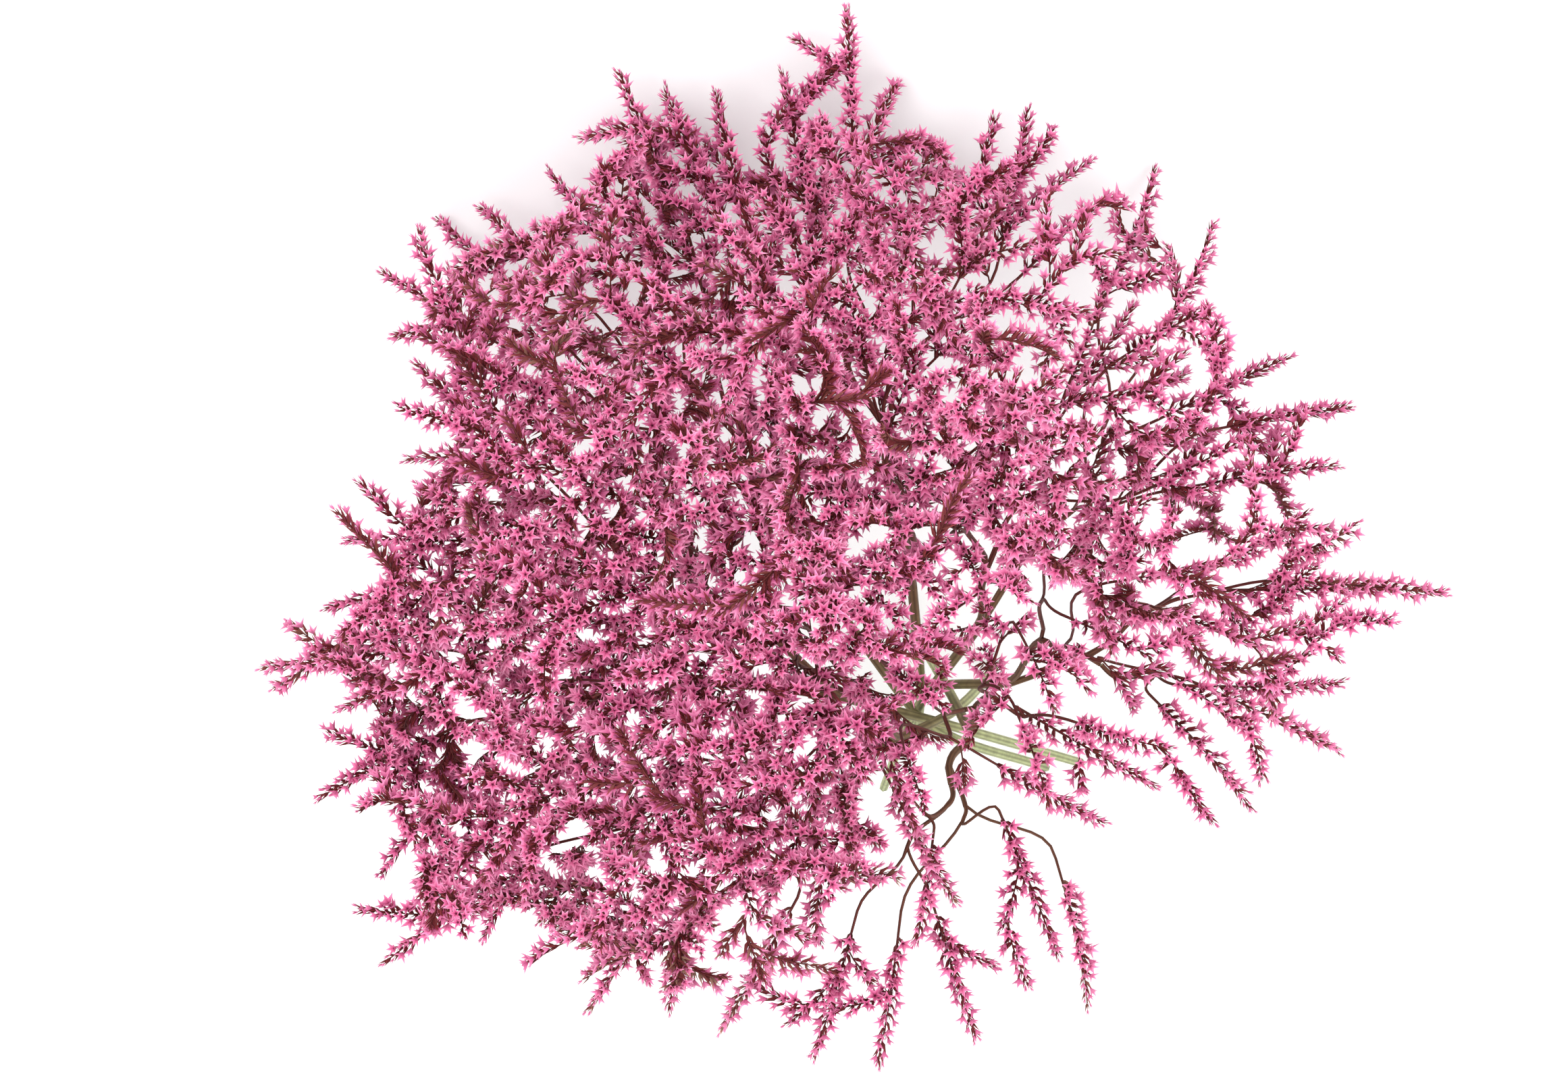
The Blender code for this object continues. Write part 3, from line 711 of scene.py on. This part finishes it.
def stem_finish():
    """The stems' wood, with a fine grain."""
    finish, tree, shader = wood_finish("ridged_stem")
    grain(tree, shader, *WOOD_GRAIN)
    return finish


def twig_finish():
    """The twigs' wood."""
    return wood_finish("brown_twig")[0]


def pith_finish():
    """The cut ends: pale and dry."""
    finish, tree, shader = new_finish("cut_pith", PITH_ROUGHNESS)
    colour = colour_ramp(tree, noise(tree, PITH_PATCHES, 3.0), [
        (0.3, (0.50, 0.46, 0.28)),
        (0.7, (0.72, 0.68, 0.48)),
    ])
    tree.links.new(colour, shader.inputs["Base Color"])
    return finish


def bract_finish():
    """The pointed scales: maroon, in the palest florets dry and tan, with pinker points."""
    finish, tree, shader = new_finish("maroon_bract", BRACT_ROUGHNESS)
    body = colour_ramp(tree, attribute(tree, "tint"), [
        (0.0, (0.110, 0.010, 0.014)),
        (0.60, (0.150, 0.022, 0.024)),
        (0.80, (0.170, 0.045, 0.036)),
        (1.0, (0.300, 0.170, 0.120)),
    ])
    point = colour_ramp(tree, attribute(tree, "bloom"), [
        (0.0, (0.75, 0.70, 0.70)),
        (0.55, (1.0, 1.0, 1.0)),
        (1.0, (2.4, 1.5, 1.9)),
    ])
    tree.links.new(shaded(tree, body, point), shader.inputs["Base Color"])
    return finish


def dyed(tree, colour):
    """A colour as the dye has taken it: deeper in some florets and paler in others."""
    taken = colour_ramp(tree, attribute(tree, "tint"), [
        (0.0, (0.76, 0.60, 0.70)),
        (0.5, (1.0, 1.0, 1.0)),
        (1.0, (1.08, 1.42, 1.22)),
    ])
    return shaded(tree, colour, taken)


def petal_finish():
    """The star's face: pink, with a dark maroon throat whose rays run out along the lobes."""
    finish, tree, shader = new_finish("pink_star", PETAL_ROUGHNESS)
    colour = colour_ramp(tree, attribute(tree, "bloom"), [
        (0.0, (0.070, 0.003, 0.016)),
        (0.12, (0.120, 0.007, 0.032)),
        (0.30, (0.570, 0.100, 0.245)),
        (0.66, (0.780, 0.228, 0.420)),
        (1.0, (0.840, 0.365, 0.552)),
    ])
    tree.links.new(dyed(tree, colour), shader.inputs["Base Color"])
    grain(tree, shader, *PETAL_GRAIN)
    return finish


def calyx_finish():
    """The star's outside: a maroon foot that turns pink towards the rim."""
    finish, tree, shader = new_finish("pink_calyx", PETAL_ROUGHNESS)
    colour = colour_ramp(tree, attribute(tree, "bloom"), [
        (0.0, (0.100, 0.010, 0.016)),
        (0.26, (0.190, 0.018, 0.045)),
        (0.46, (0.570, 0.108, 0.262)),
        (1.0, (0.785, 0.270, 0.455)),
    ])
    tree.links.new(dyed(tree, colour), shader.inputs["Base Color"])
    return finish


def to_mesh(bm, name):
    """The bmesh as a mesh that can be copied into pieces."""
    mesh = bpy.data.meshes.new(name)
    bm.to_mesh(mesh)
    bm.free()
    return mesh


def lower_ring(bm):
    """Extrude the open edges once; returns the new corners in the order of their angles."""
    edges = [edge for edge in bm.edges if edge.is_boundary]
    grown = bmesh.ops.extrude_edge_only(bm, edges=edges)["geom"]
    for part in grown:
        if isinstance(part, bmesh.types.BMFace):
            part.material_index = CALYX
    corners = [part for part in grown if isinstance(part, bmesh.types.BMVert)]
    return sorted(corners, key=lambda vert: math.atan2(vert.co.y, vert.co.x))


def floret_template(name, form, chance):
    """One calyx: a star of five uneven lobes over a funnel."""
    bm = bmesh.new()
    bloom = bm.verts.layers.float.new("bloom")
    reach = bm.verts.layers.float.new("reach")
    bmesh.ops.create_circle(bm, cap_ends=True, segments=2 * LOBES, radius=1.0)
    rim = sorted(bm.verts, key=lambda vert: math.atan2(vert.co.y, vert.co.x))
    throat = bmesh.ops.poke(bm, faces=bm.faces[:])["verts"][0]
    for face in bm.faces:
        face.material_index = PETAL
    throat.co = (0.0, 0.0, form["throat"])
    throat[bloom] = BLOOM_AT["throat"]
    for number, vert in enumerate(rim):
        part = "notch" if number % 2 else "tip"
        radius, height = form[part]
        radius *= chance.uniform(1.0 - UNEVEN, 1.0 + UNEVEN)
        height *= chance.uniform(1.0 - UNEVEN, 1.0 + UNEVEN)
        vert.co = (vert.co.x * radius, vert.co.y * radius, height)
        vert[bloom] = BLOOM_AT[part]
        vert[reach] = MAP_REACH[part]
    neck = lower_ring(bm)
    for first, second in zip(neck[::2], neck[1::2]):
        middle = (first.co + second.co).normalized()
        spot = (middle.x * NECK_RADIUS, middle.y * NECK_RADIUS, NECK_HEIGHT)
        first[bloom] = second[bloom] = BLOOM_AT["neck"]
        first[reach] = second[reach] = MAP_REACH["neck"]
        bmesh.ops.pointmerge(bm, verts=[first, second], merge_co=spot)
    foot = lower_ring(bm)
    for vert in foot:
        vert[bloom] = BLOOM_AT["foot"]
        vert[reach] = MAP_REACH["foot"]
    bmesh.ops.pointmerge(bm, verts=foot, merge_co=(0.0, 0.0, 0.0))
    bmesh.ops.recalc_face_normals(bm, faces=bm.faces)
    bmesh.ops.triangulate(bm, faces=bm.faces)
    layer = bm.loops.layers.uv.new(MAP)
    for face in bm.faces:
        middle = Vector(FACE_SPOT if face.material_index == PETAL else OUTSIDE_SPOT)
        for corner in face.loops:
            way = corner.vert.co.xy.normalized() if corner.vert[reach] else Vector((0.0, 0.0))
            corner[layer].uv = middle + way * corner.vert[reach] * STAR_SPREAD
    bm.verts.layers.float.remove(reach)
    return to_mesh(bm, name)


def one_scale(bm, number, width, length):
    """A pointed scale with a keel towards +X, at its own place in the map; returns its corners."""
    bloom = bm.verts.layers.float["bloom"]
    layer = bm.loops.layers.uv[MAP]
    place = Matrix.Translation((0.0, 0.0, (BRACT_WAIST + length) / 2))
    grown = bmesh.ops.create_cone(bm, cap_ends=True, segments=3, radius1=width, radius2=0.0,
                                  depth=length - BRACT_WAIST, matrix=place)["verts"]
    base = [face for face in bm.faces if len(face.verts) == 3 and all(v in grown for v in face.verts)]
    base = min(base, key=lambda face: face.calc_center_median().z)
    foot = bmesh.ops.poke(bm, faces=[base])["verts"][0]
    foot.co = (0.0, 0.0, 0.0)
    corners = grown + [foot]
    low, high = SCALE_ROW
    for vert in corners:
        vert.co.x *= BRACT_FLATTEN
        vert[bloom] = vert.co.z / length
        across = (vert.co.y + vert.co.x * SCALE_SKEW) / width * SCALE_SPREAD
        spot = ((number + 0.5 + across) / len(BRACTS), low + vert[bloom] * (high - low))
        for corner in vert.link_loops:
            corner[layer].uv = spot
    return corners


def new_scales():
    """An empty bmesh with what a scale keeps at its corners."""
    bm = bmesh.new()
    bm.verts.layers.float.new("bloom")
    bm.loops.layers.uv.new(MAP)
    return bm


def closed_scales(bm, name):
    """The scales as one mesh that faces outwards."""
    for face in bm.faces:
        face.material_index = BRACT
    bmesh.ops.recalc_face_normals(bm, faces=bm.faces)
    return to_mesh(bm, name)


def bract_template():
    """Three pointed scales that hold a floret's foot, the widest towards +X."""
    bm = new_scales()
    for number, (turn, width, length, lean) in enumerate(BRACTS):
        corners = one_scale(bm, number, width, length)
        place = Matrix.Rotation(math.radians(turn), 4, "Z") @ Matrix.Translation((BRACT_OUT, 0.0, 0.0))
        place = place @ Matrix.Rotation(math.radians(lean), 4, "Y")
        bmesh.ops.transform(bm, matrix=place, verts=corners)
    return closed_scales(bm, "bracts")


def fork_scale_template():
    """One pointed scale, as they stand at the forks."""
    bm = new_scales()
    _, width, length, _ = BRACTS[0]
    one_scale(bm, 0, width, length)
    return closed_scales(bm, "fork_scale")


def tinted(mesh, tint):
    """A copy of a template in one of the tints, laid in that tint's cell of the map."""
    copy = mesh.copy()
    shade = copy.attributes.new("tint", "FLOAT", "POINT")
    shade.data.foreach_set("value", [tint / (TINTS - 1)] * len(copy.vertices))
    row, column = divmod(tint, MAP_SIDE)
    for corner in copy.uv_layers[MAP].data:
        corner.uv = ((corner.uv.x + column) / MAP_SIDE, (corner.uv.y + row) / MAP_SIDE)
    return copy


def row_length(points):
    """Length of a row of points."""
    return sum((there - here).length for here, there in zip(points, points[1:]))


def along_row(points, distance):
    """The point at a distance along a row of points, and the way it runs there."""
    for here, there in zip(points, points[1:]):
        step = (there - here).length
        if distance <= step or there is points[-1]:
            return here.lerp(there, min(1.0, distance / step)), (there - here).normalized()
        distance -= step


def square_to(way, along):
    """The part of a way that is square to another."""
    return (way - along * way.dot(along)).normalized()


def age_at(point):
    """How brown the wood is here: 0 at the cut end, 1 in the crown."""
    distance = point.length if point.z > 0 else -point.length
    return min(1.0, max(0.0, (distance - YOUNGEST) / (OLDEST - YOUNGEST)))


def frames_along(points):
    """A frame at each point, its Z along the row and its X turning as little as it can."""
    frames = []
    side = None
    for number, point in enumerate(points):
        ahead = points[min(number + 1, len(points) - 1)]
        behind = points[max(number - 1, 0)]
        along = (ahead - behind).normalized()
        side = along.orthogonal() if side is None else side
        side = square_to(side, along)
        frame = Matrix((side, along.cross(side), along)).transposed().to_4x4()
        frame.translation = point
        frames.append(frame)
    return frames


def wood_tube(points, radii, sides, ridge):
    """A tapering tube through the points, with ridges along it."""
    bm = bmesh.new()
    age = bm.verts.layers.float.new("age")
    crest = bm.verts.layers.float.new("ridge")
    turn = bm.verts.layers.float.new("turn")
    run = bm.verts.layers.float.new("run")
    frames = [frame @ Matrix.Diagonal((radius, radius, 1.0, 1.0))
              for frame, radius in zip(frames_along(points), radii)]
    bmesh.ops.create_circle(bm, cap_ends=True, segments=sides, radius=1.0)
    for number, vert in enumerate(bm.verts):
        vert.co *= ridge if number % 2 else 1.0
        # The ridge mark is 1 on the crests and 0 in the grooves; the wood's colour uses it to paint
        # shade in the grooves and light on the crests.
        vert[crest] = 1.0 - number % 2
        vert[turn] = number / sides
    for face in bm.faces:
        face.material_index = PITH
    bmesh.ops.transform(bm, matrix=frames[0], verts=bm.verts)
    edges = list(bm.edges)
    for ring, (before, after) in enumerate(zip(frames, frames[1:]), 1):
        grown = bmesh.ops.extrude_edge_only(bm, edges=edges)["geom"]
        edges = [part for part in grown if isinstance(part, bmesh.types.BMEdge)]
        corners = [part for part in grown if isinstance(part, bmesh.types.BMVert)]
        for corner in corners:
            corner[run] = ring / (len(frames) - 1)
        for part in grown:
            if isinstance(part, bmesh.types.BMFace):
                part.material_index = WOOD
                part.smooth = True
        bmesh.ops.transform(bm, matrix=after @ before.inverted(), verts=corners)
    bmesh.ops.contextual_create(bm, geom=edges, mat_nr=WOOD)
    for vert in bm.verts:
        vert[age] = age_at(vert.co)
    bmesh.ops.recalc_face_normals(bm, faces=bm.faces)
    lay_bark(bm, turn, run)
    for name in ("turn", "run"):
        bm.verts.layers.float.remove(bm.verts.layers.float[name])
    return to_mesh(bm, "tube")


def lay_bark(bm, turn, run):
    """Lay a tube's faces in the wood's row of the map, and its two ends beside them."""
    layer = bm.loops.layers.uv.new(MAP)
    for face in bm.faces:
        runs = [vert[run] for vert in face.verts]
        turns = [vert[turn] for vert in face.verts]
        for corner in face.loops:
            along, around = corner.vert[run], corner.vert[turn]
            if min(runs) == max(runs):
                across = END_SPOT[0] + END_SPREAD[0] * math.cos(math.tau * around)
                up = END_SPOT[1] + END_SPREAD[1] * math.sin(math.tau * around)
            else:
                across = BARK_FROM + (1.0 - BARK_FROM) * along
                up = around + (1.0 if max(turns) - min(turns) > 0.5 and around < 0.5 else 0.0)
            corner[layer].uv = (across, (MAP_SIDE - 1 + up) / MAP_SIDE)


def taper(first, last, count):
    """So many radii from the first to the last."""
    return [first + (last - first) * number / (count - 1) for number in range(count)]


def limb_tube(limb):
    """A limb with the spike that it may end in."""
    of_stem = limb["node"].startswith("stem")
    slim = STEM_SLIM if of_stem else TWIG_SLIM
    radii = [radius * slim for radius in limb["radii"]]
    if limb["ends in spike"]:
        spike = limb["ends in spike"]
        radii[-spike:] = taper(RACHIS_RADIUS, RACHIS_TIP_RADIUS, spike)
    if of_stem:
        return wood_tube(limb["points"], radii, STEM_SIDES, STEM_RIDGE)
    return wood_tube(limb["points"], radii, TWIG_SIDES, 1.0)


def inside_outline(spot):
    """Whether a pixel lies inside the outline that the rim's tips make, drawn in a little."""
    corners = [PHOTO_CROWN.lerp(Vector(tip[:2]), OUTLINE_SHARE) for tip in RIM_TIPS]
    inside = False
    for here, there in zip(corners, corners[1:] + corners[:1]):
        if (here.y > spot.y) != (there.y > spot.y):
            crossing = here.x + (there.x - here.x) * (spot.y - here.y) / (there.y - here.y)
            inside = inside != (spot.x < crossing)
    return inside


def wanted(spot):
    """How full of florets the photograph is at a pixel, from 0 to 1."""
    if not inside_outline(spot):
        return 0.0
    if any((spot - Vector(patch[:2])).length < patch[2] for patch in OPEN_PATCHES):
        return 0.0
    for across, down, radius, share in THIN_PATCHES:
        if (spot - Vector((across, down))).length < radius:
            return share
    return RIGHT_SHARE if spot.x > RIGHT_FROM else 1.0


class Crowd:
    """How many florets stand near each spot of the photograph's view."""

    def __init__(self):
        self.count = np.zeros((PHOTO_HEIGHT // CELL, PHOTO_WIDTH // CELL))
        across, down = np.mgrid[-CROWD_REACH:CROWD_REACH + 1, -CROWD_REACH:CROWD_REACH + 1]
        self.disk = np.hypot(across, down) <= CROWD_REACH

    def cell_of(self, spot):
        """Row and column of the cell at a pixel."""
        rows, columns = self.count.shape
        row = min(rows - CROWD_REACH - 1, max(CROWD_REACH, int(spot.y / CELL)))
        column = min(columns - CROWD_REACH - 1, max(CROWD_REACH, int(spot.x / CELL)))
        return row, column

    def add_row(self, points):
        """Count the florets of one spike."""
        florets = max(1, round(row_length(points) / (ROW_PITCH / 2)))
        for number in range(florets):
            point, _ = along_row(points, row_length(points) * (number + 0.5) / florets)
            row, column = self.cell_of(in_photo(point))
            rows = slice(row - CROWD_REACH, row + CROWD_REACH + 1)
            columns = slice(column - CROWD_REACH, column + CROWD_REACH + 1)
            self.count[rows, columns] += self.disk

    def need_of(self, points):
        """How much the view lacks florets where a row of points runs."""
        spots = [in_photo(point) for point in points]
        needs = [wanted(spot) - self.count[self.cell_of(spot)] / FULL_CROWD for spot in spots]
        return sum(needs) / len(needs)


def draw_side(twigs, chance):
    """A row of points that leaves a twig, with its node and the side that its florets face."""
    twig = chance.choice(twigs)
    length = row_length(twig["points"])
    first, last = SIDE_CLEAR
    root, along = along_row(twig["points"], chance.uniform(first, max(first, length - last)))
    face = square_to(twig["face"] or root - Vector(CROWN_HEART), along)
    aside = along.cross(face) * chance.choice((-1, 1))
    turn = chance.uniform(*SIDE_TURN)
    outward = (aside + face * chance.uniform(*SIDE_LIFT)).normalized()
    way = along * math.cos(turn) + outward * math.sin(turn)
    reach = chance.uniform(*SIDE_LENGTH)
    tip = root + way * reach
    bow = (face * SIDE_BOW + aside * chance.uniform(-SIDE_SWAY, SIDE_SWAY)) * reach
    leave, arrive = SIDE_HANDLES
    curve = (root, root + (along + way) * reach * leave + bow, tip - way * reach * arrive + bow, tip)
    across, down, radius, share = BACKS_PATCH
    in_patch = (in_photo(tip) - Vector((across, down))).length < radius
    if chance.random() < (share if in_patch else BACK_SHARE):
        face = -face
    return {"node": twig["node"], "points": interpolate_bezier(*curve, SIDE_STEPS + 1), "face": face}


def side_spikes(plant, dresser, chance):
    """Side spikes that fill the crown as full as the photograph shows it."""
    twigs = [dict(limb, face=None) for limb in plant.limbs if limb["node"].startswith("spray")]
    crowd = Crowd()
    for spike in plant.spikes:
        twigs.append({"node": spike["limb"]["node"], "points": spike["points"], "face": spike["face"]})
        crowd.add_row(spike["points"])
    sides = []
    for _ in range(SIDE_SPIKES):
        draws = [draw_side(twigs, chance) for _ in range(DRAWS)]
        draws = [side for side in draws if dresser.holds(side["points"][-1], SIDE_MARGIN)]
        needs = [crowd.need_of(side["points"][2::2]) for side in draws]
        if max(needs, default=0.0) > LEAST_NEED:
            side = draws[needs.index(max(needs))]
            sides.append(side)
            twigs.append(side)
            crowd.add_row(side["points"])
    return sides


def spikelets(points, face, bare, chance):
    """Root, axis, outer side, size and closeness to the tip of each spikelet along a spike."""
    length = row_length(points)
    distance = chance.uniform(*bare)
    side = chance.choice((-1, 1))
    places = []
    while distance < length:
        root, along = along_row(points, distance)
        outward = square_to(face, along)
        aside = along.cross(outward) * side
        progress = distance / length
        forward = SPIKELET_FORWARD + TIP_FORWARD * progress ** 4
        stray = Vector([chance.uniform(-1.0, 1.0) for _ in range(3)]) * SPIKELET_STRAY
        lean = outward * math.cos(SPIKELET_LEAN) + aside * math.sin(SPIKELET_LEAN)
        axis = lean + along * forward + stray
        back = aside * SPIKELET_ASIDE - outward
        size = chance.uniform(*SPIKELET_SIZES) * (1.0 - TIP_SHRINK * progress ** 4)
        places.append((root, axis.normalized(), back, size, progress))
        distance += ROW_PITCH / 2 * chance.uniform(*PITCH_STRAY)
        side = -side
    return places


def form_at(progress, chance):
    """The form of a floret so far along its spike."""
    pick = chance.random() + max(0.0, progress - BUDDING) / (1.0 - BUDDING)
    if pick < STARS_UP_TO:
        return "star_%d" % chance.randint(1, 3)
    cup = "cup_%d" % chance.randint(1, 2)
    return cup if pick < CUPS_UP_TO else "bud_1"


def upright(root, axis, side, size):
    """A place with its Z along an axis and its X towards a side."""
    across = square_to(side, axis)
    place = Matrix((across, axis.cross(across), axis)).transposed().to_4x4() @ Matrix.Scale(size, 4)
    place.translation = root
    return place


class Dresser:
    """Collects copies of the templates and tubes for each node."""

    def __init__(self, place):
        self.place = place
        self.low, self.high = cad_box
        chance = random.Random(SEED)
        shapes = {name: floret_template(name, form, chance) for name, form in FORMS.items()}
        shapes["bracts"] = bract_template()
        self.templates = {name: [tinted(shape, tint) for tint in range(TINTS)]
                          for name, shape in shapes.items()}
        self.fork_scale = tinted(fork_scale_template(), TINTS // 2)
        self.dyes = random.Random(SEED)
        self.parts = {}
        self.florets = 0

    def add(self, node, mesh, place=Matrix()):
        """Keep a mesh and its place for a node."""
        self.parts.setdefault(node, []).append((mesh, place))

    def holds(self, point, reach):
        """Whether what reaches so far about a point stays inside the box of the solids."""
        spot = self.place @ point
        return all(low + reach < mark < high - reach
                   for low, mark, high in zip(self.low, spot, self.high))

    def flower(self, node, points, face, bare, chance):
        """Set the spikelets along one spike."""
        patch = DYE_PATCH_STRENGTH * perlin(points[0] * DYE_PATCHES)
        for root, axis, back, size, progress in spikelets(points, face, bare, chance):
            place = upright(root, axis, back, size)
            if not self.holds(place @ FLORET_MIDDLE, FLORET_REACH * size):
                continue
            dye = 0.5 + patch + self.dyes.uniform(-DYE_STRAY, DYE_STRAY)
            tint = round(min(1.0, max(0.0, dye)) * (TINTS - 1))
            self.add(node, self.templates["bracts"][tint], place)
            form = form_at(progress, chance)
            spin = Matrix.Rotation(chance.uniform(0.0, math.tau), 4, "Z")
            self.add(node, self.templates[form][tint], place @ spin)
            self.florets += 1

    def piece(self, node, name, slot, finishes):
        """One mesh object for a node, in place, standing for its solid."""
        bm = bmesh.new()
        for mesh, place in self.parts[node]:
            copy = mesh.copy()
            copy.transform(self.place @ place)
            bm.from_mesh(copy)
            bpy.data.meshes.remove(copy)
        if min(vert.co.z for vert in bm.verts) < 0.0:
            cut_level(bm)
        mesh = to_mesh(bm, name)
        if slot == "stem":
            mesh.uv_layers.remove(mesh.uv_layers[MAP])
        for finish in finishes:
            mesh.materials.append(finish)
        item = bpy.data.objects.new(name, mesh)
        bpy.context.scene.collection.objects.link(item)
        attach(item, "root")
        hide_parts(node)


def cut_level(bm):
    """Cut away what reaches below the surface that the bunch lies on, and close the cut."""
    everything = bm.verts[:] + bm.edges[:] + bm.faces[:]
    cut = bmesh.ops.bisect_plane(bm, geom=everything, dist=ON_SURFACE, plane_co=(0.0, 0.0, 0.0),
                                 plane_no=(0.0, 0.0, -1.0), clear_outer=True)["geom_cut"]
    bmesh.ops.holes_fill(bm, edges=[part for part in cut if isinstance(part, bmesh.types.BMEdge)])


def dress_bunch():
    """Every node's piece."""
    plant = grow_bunch()
    dresser = Dresser(lie())
    chance = random.Random(SEED)
    for limb in plant.limbs:
        limb["ends in spike"] = 0
    for spike in plant.spikes:
        spike["limb"]["ends in spike"] = len(spike["points"])
    for limb in plant.limbs:
        dresser.add(limb["node"], limb_tube(limb))
        root, ahead = limb["points"][0], limb["points"][1]
        way = (ahead - root).normalized()
        place = upright(root, way, way.orthogonal(), SCALE_SIZE)
        dresser.add(limb["node"], dresser.fork_scale, place)
    for spike in plant.spikes:
        dresser.flower(spike["limb"]["node"], spike["points"], spike["face"], BARE_MAIN, chance)
    for side in side_spikes(plant, dresser, chance):
        radii = taper(SIDE_RACHIS_RADIUS, RACHIS_TIP_RADIUS, len(side["points"]))
        dresser.add(side["node"], wood_tube(side["points"], radii, SIDE_SIDES, 1.0))
        dresser.flower(side["node"], side["points"], side["face"], BARE_SIDE, chance)
    others = [pith_finish(), bract_finish(), petal_finish(), calyx_finish()]
    stem, twig = stem_finish(), twig_finish()
    for node in sorted(dresser.parts):
        if node.startswith("stem"):
            dresser.piece(node, node + "_ridged", "stem", [stem] + others)
        else:
            dresser.piece(node, node + "_in_flower", "spray", [twig] + others)
    print("florets", dresser.florets)


def table_top():
    """The plain pale floor."""
    bm = bmesh.new()
    bmesh.ops.create_grid(bm, x_segments=1, y_segments=1, size=FLOOR_REACH)
    mesh = to_mesh(bm, "floor")
    finish, _, shader = new_finish("pale_floor", FLOOR_ROUGHNESS)
    shader.inputs["Base Color"].default_value = FLOOR_COLOUR
    mesh.materials.append(finish)
    floor = bpy.data.objects.new("floor", mesh)
    bpy.context.scene.collection.objects.link(floor)


def soft_light(name, spot, size, power):
    """A large soft lamp that faces the middle of the bunch."""
    lamp = bpy.data.lights.new(name, "AREA")
    lamp.shape = "DISK"
    lamp.size = size
    lamp.energy = power
    item = bpy.data.objects.new(name, lamp)
    item.location = spot
    item.rotation_mode = "QUATERNION"
    item.rotation_quaternion = (LAMP_AIM - Vector(spot)).to_track_quat("-Z", "Y")
    bpy.context.scene.collection.objects.link(item)


def studio():
    """Pale surroundings, two soft lamps, and the eye where the photograph's was."""
    world = bpy.data.worlds.new("studio")
    world.use_nodes = True
    sky = world.node_tree.nodes["Background"]
    sky.inputs["Color"].default_value = SKY_COLOUR
    sky.inputs["Strength"].default_value = SKY_STRENGTH
    bpy.context.scene.world = world
    soft_light("key", *KEY_LAMP)
    soft_light("fill", *FILL_LAMP)
    lens = bpy.data.cameras.new("eye")
    lens.sensor_width = SENSOR
    lens.lens = PHOTO_FOCAL * SENSOR / PHOTO_WIDTH
    lens.clip_start, lens.clip_end = EYE_RANGE
    eye = bpy.data.objects.new("eye", lens)
    eye.matrix_world = lie() @ Matrix.Translation(EYE)
    bpy.context.scene.collection.objects.link(eye)
    bpy.context.scene.camera = eye
    bpy.context.scene.view_settings.view_transform = "Standard"


dress_bunch()
table_top()
studio()
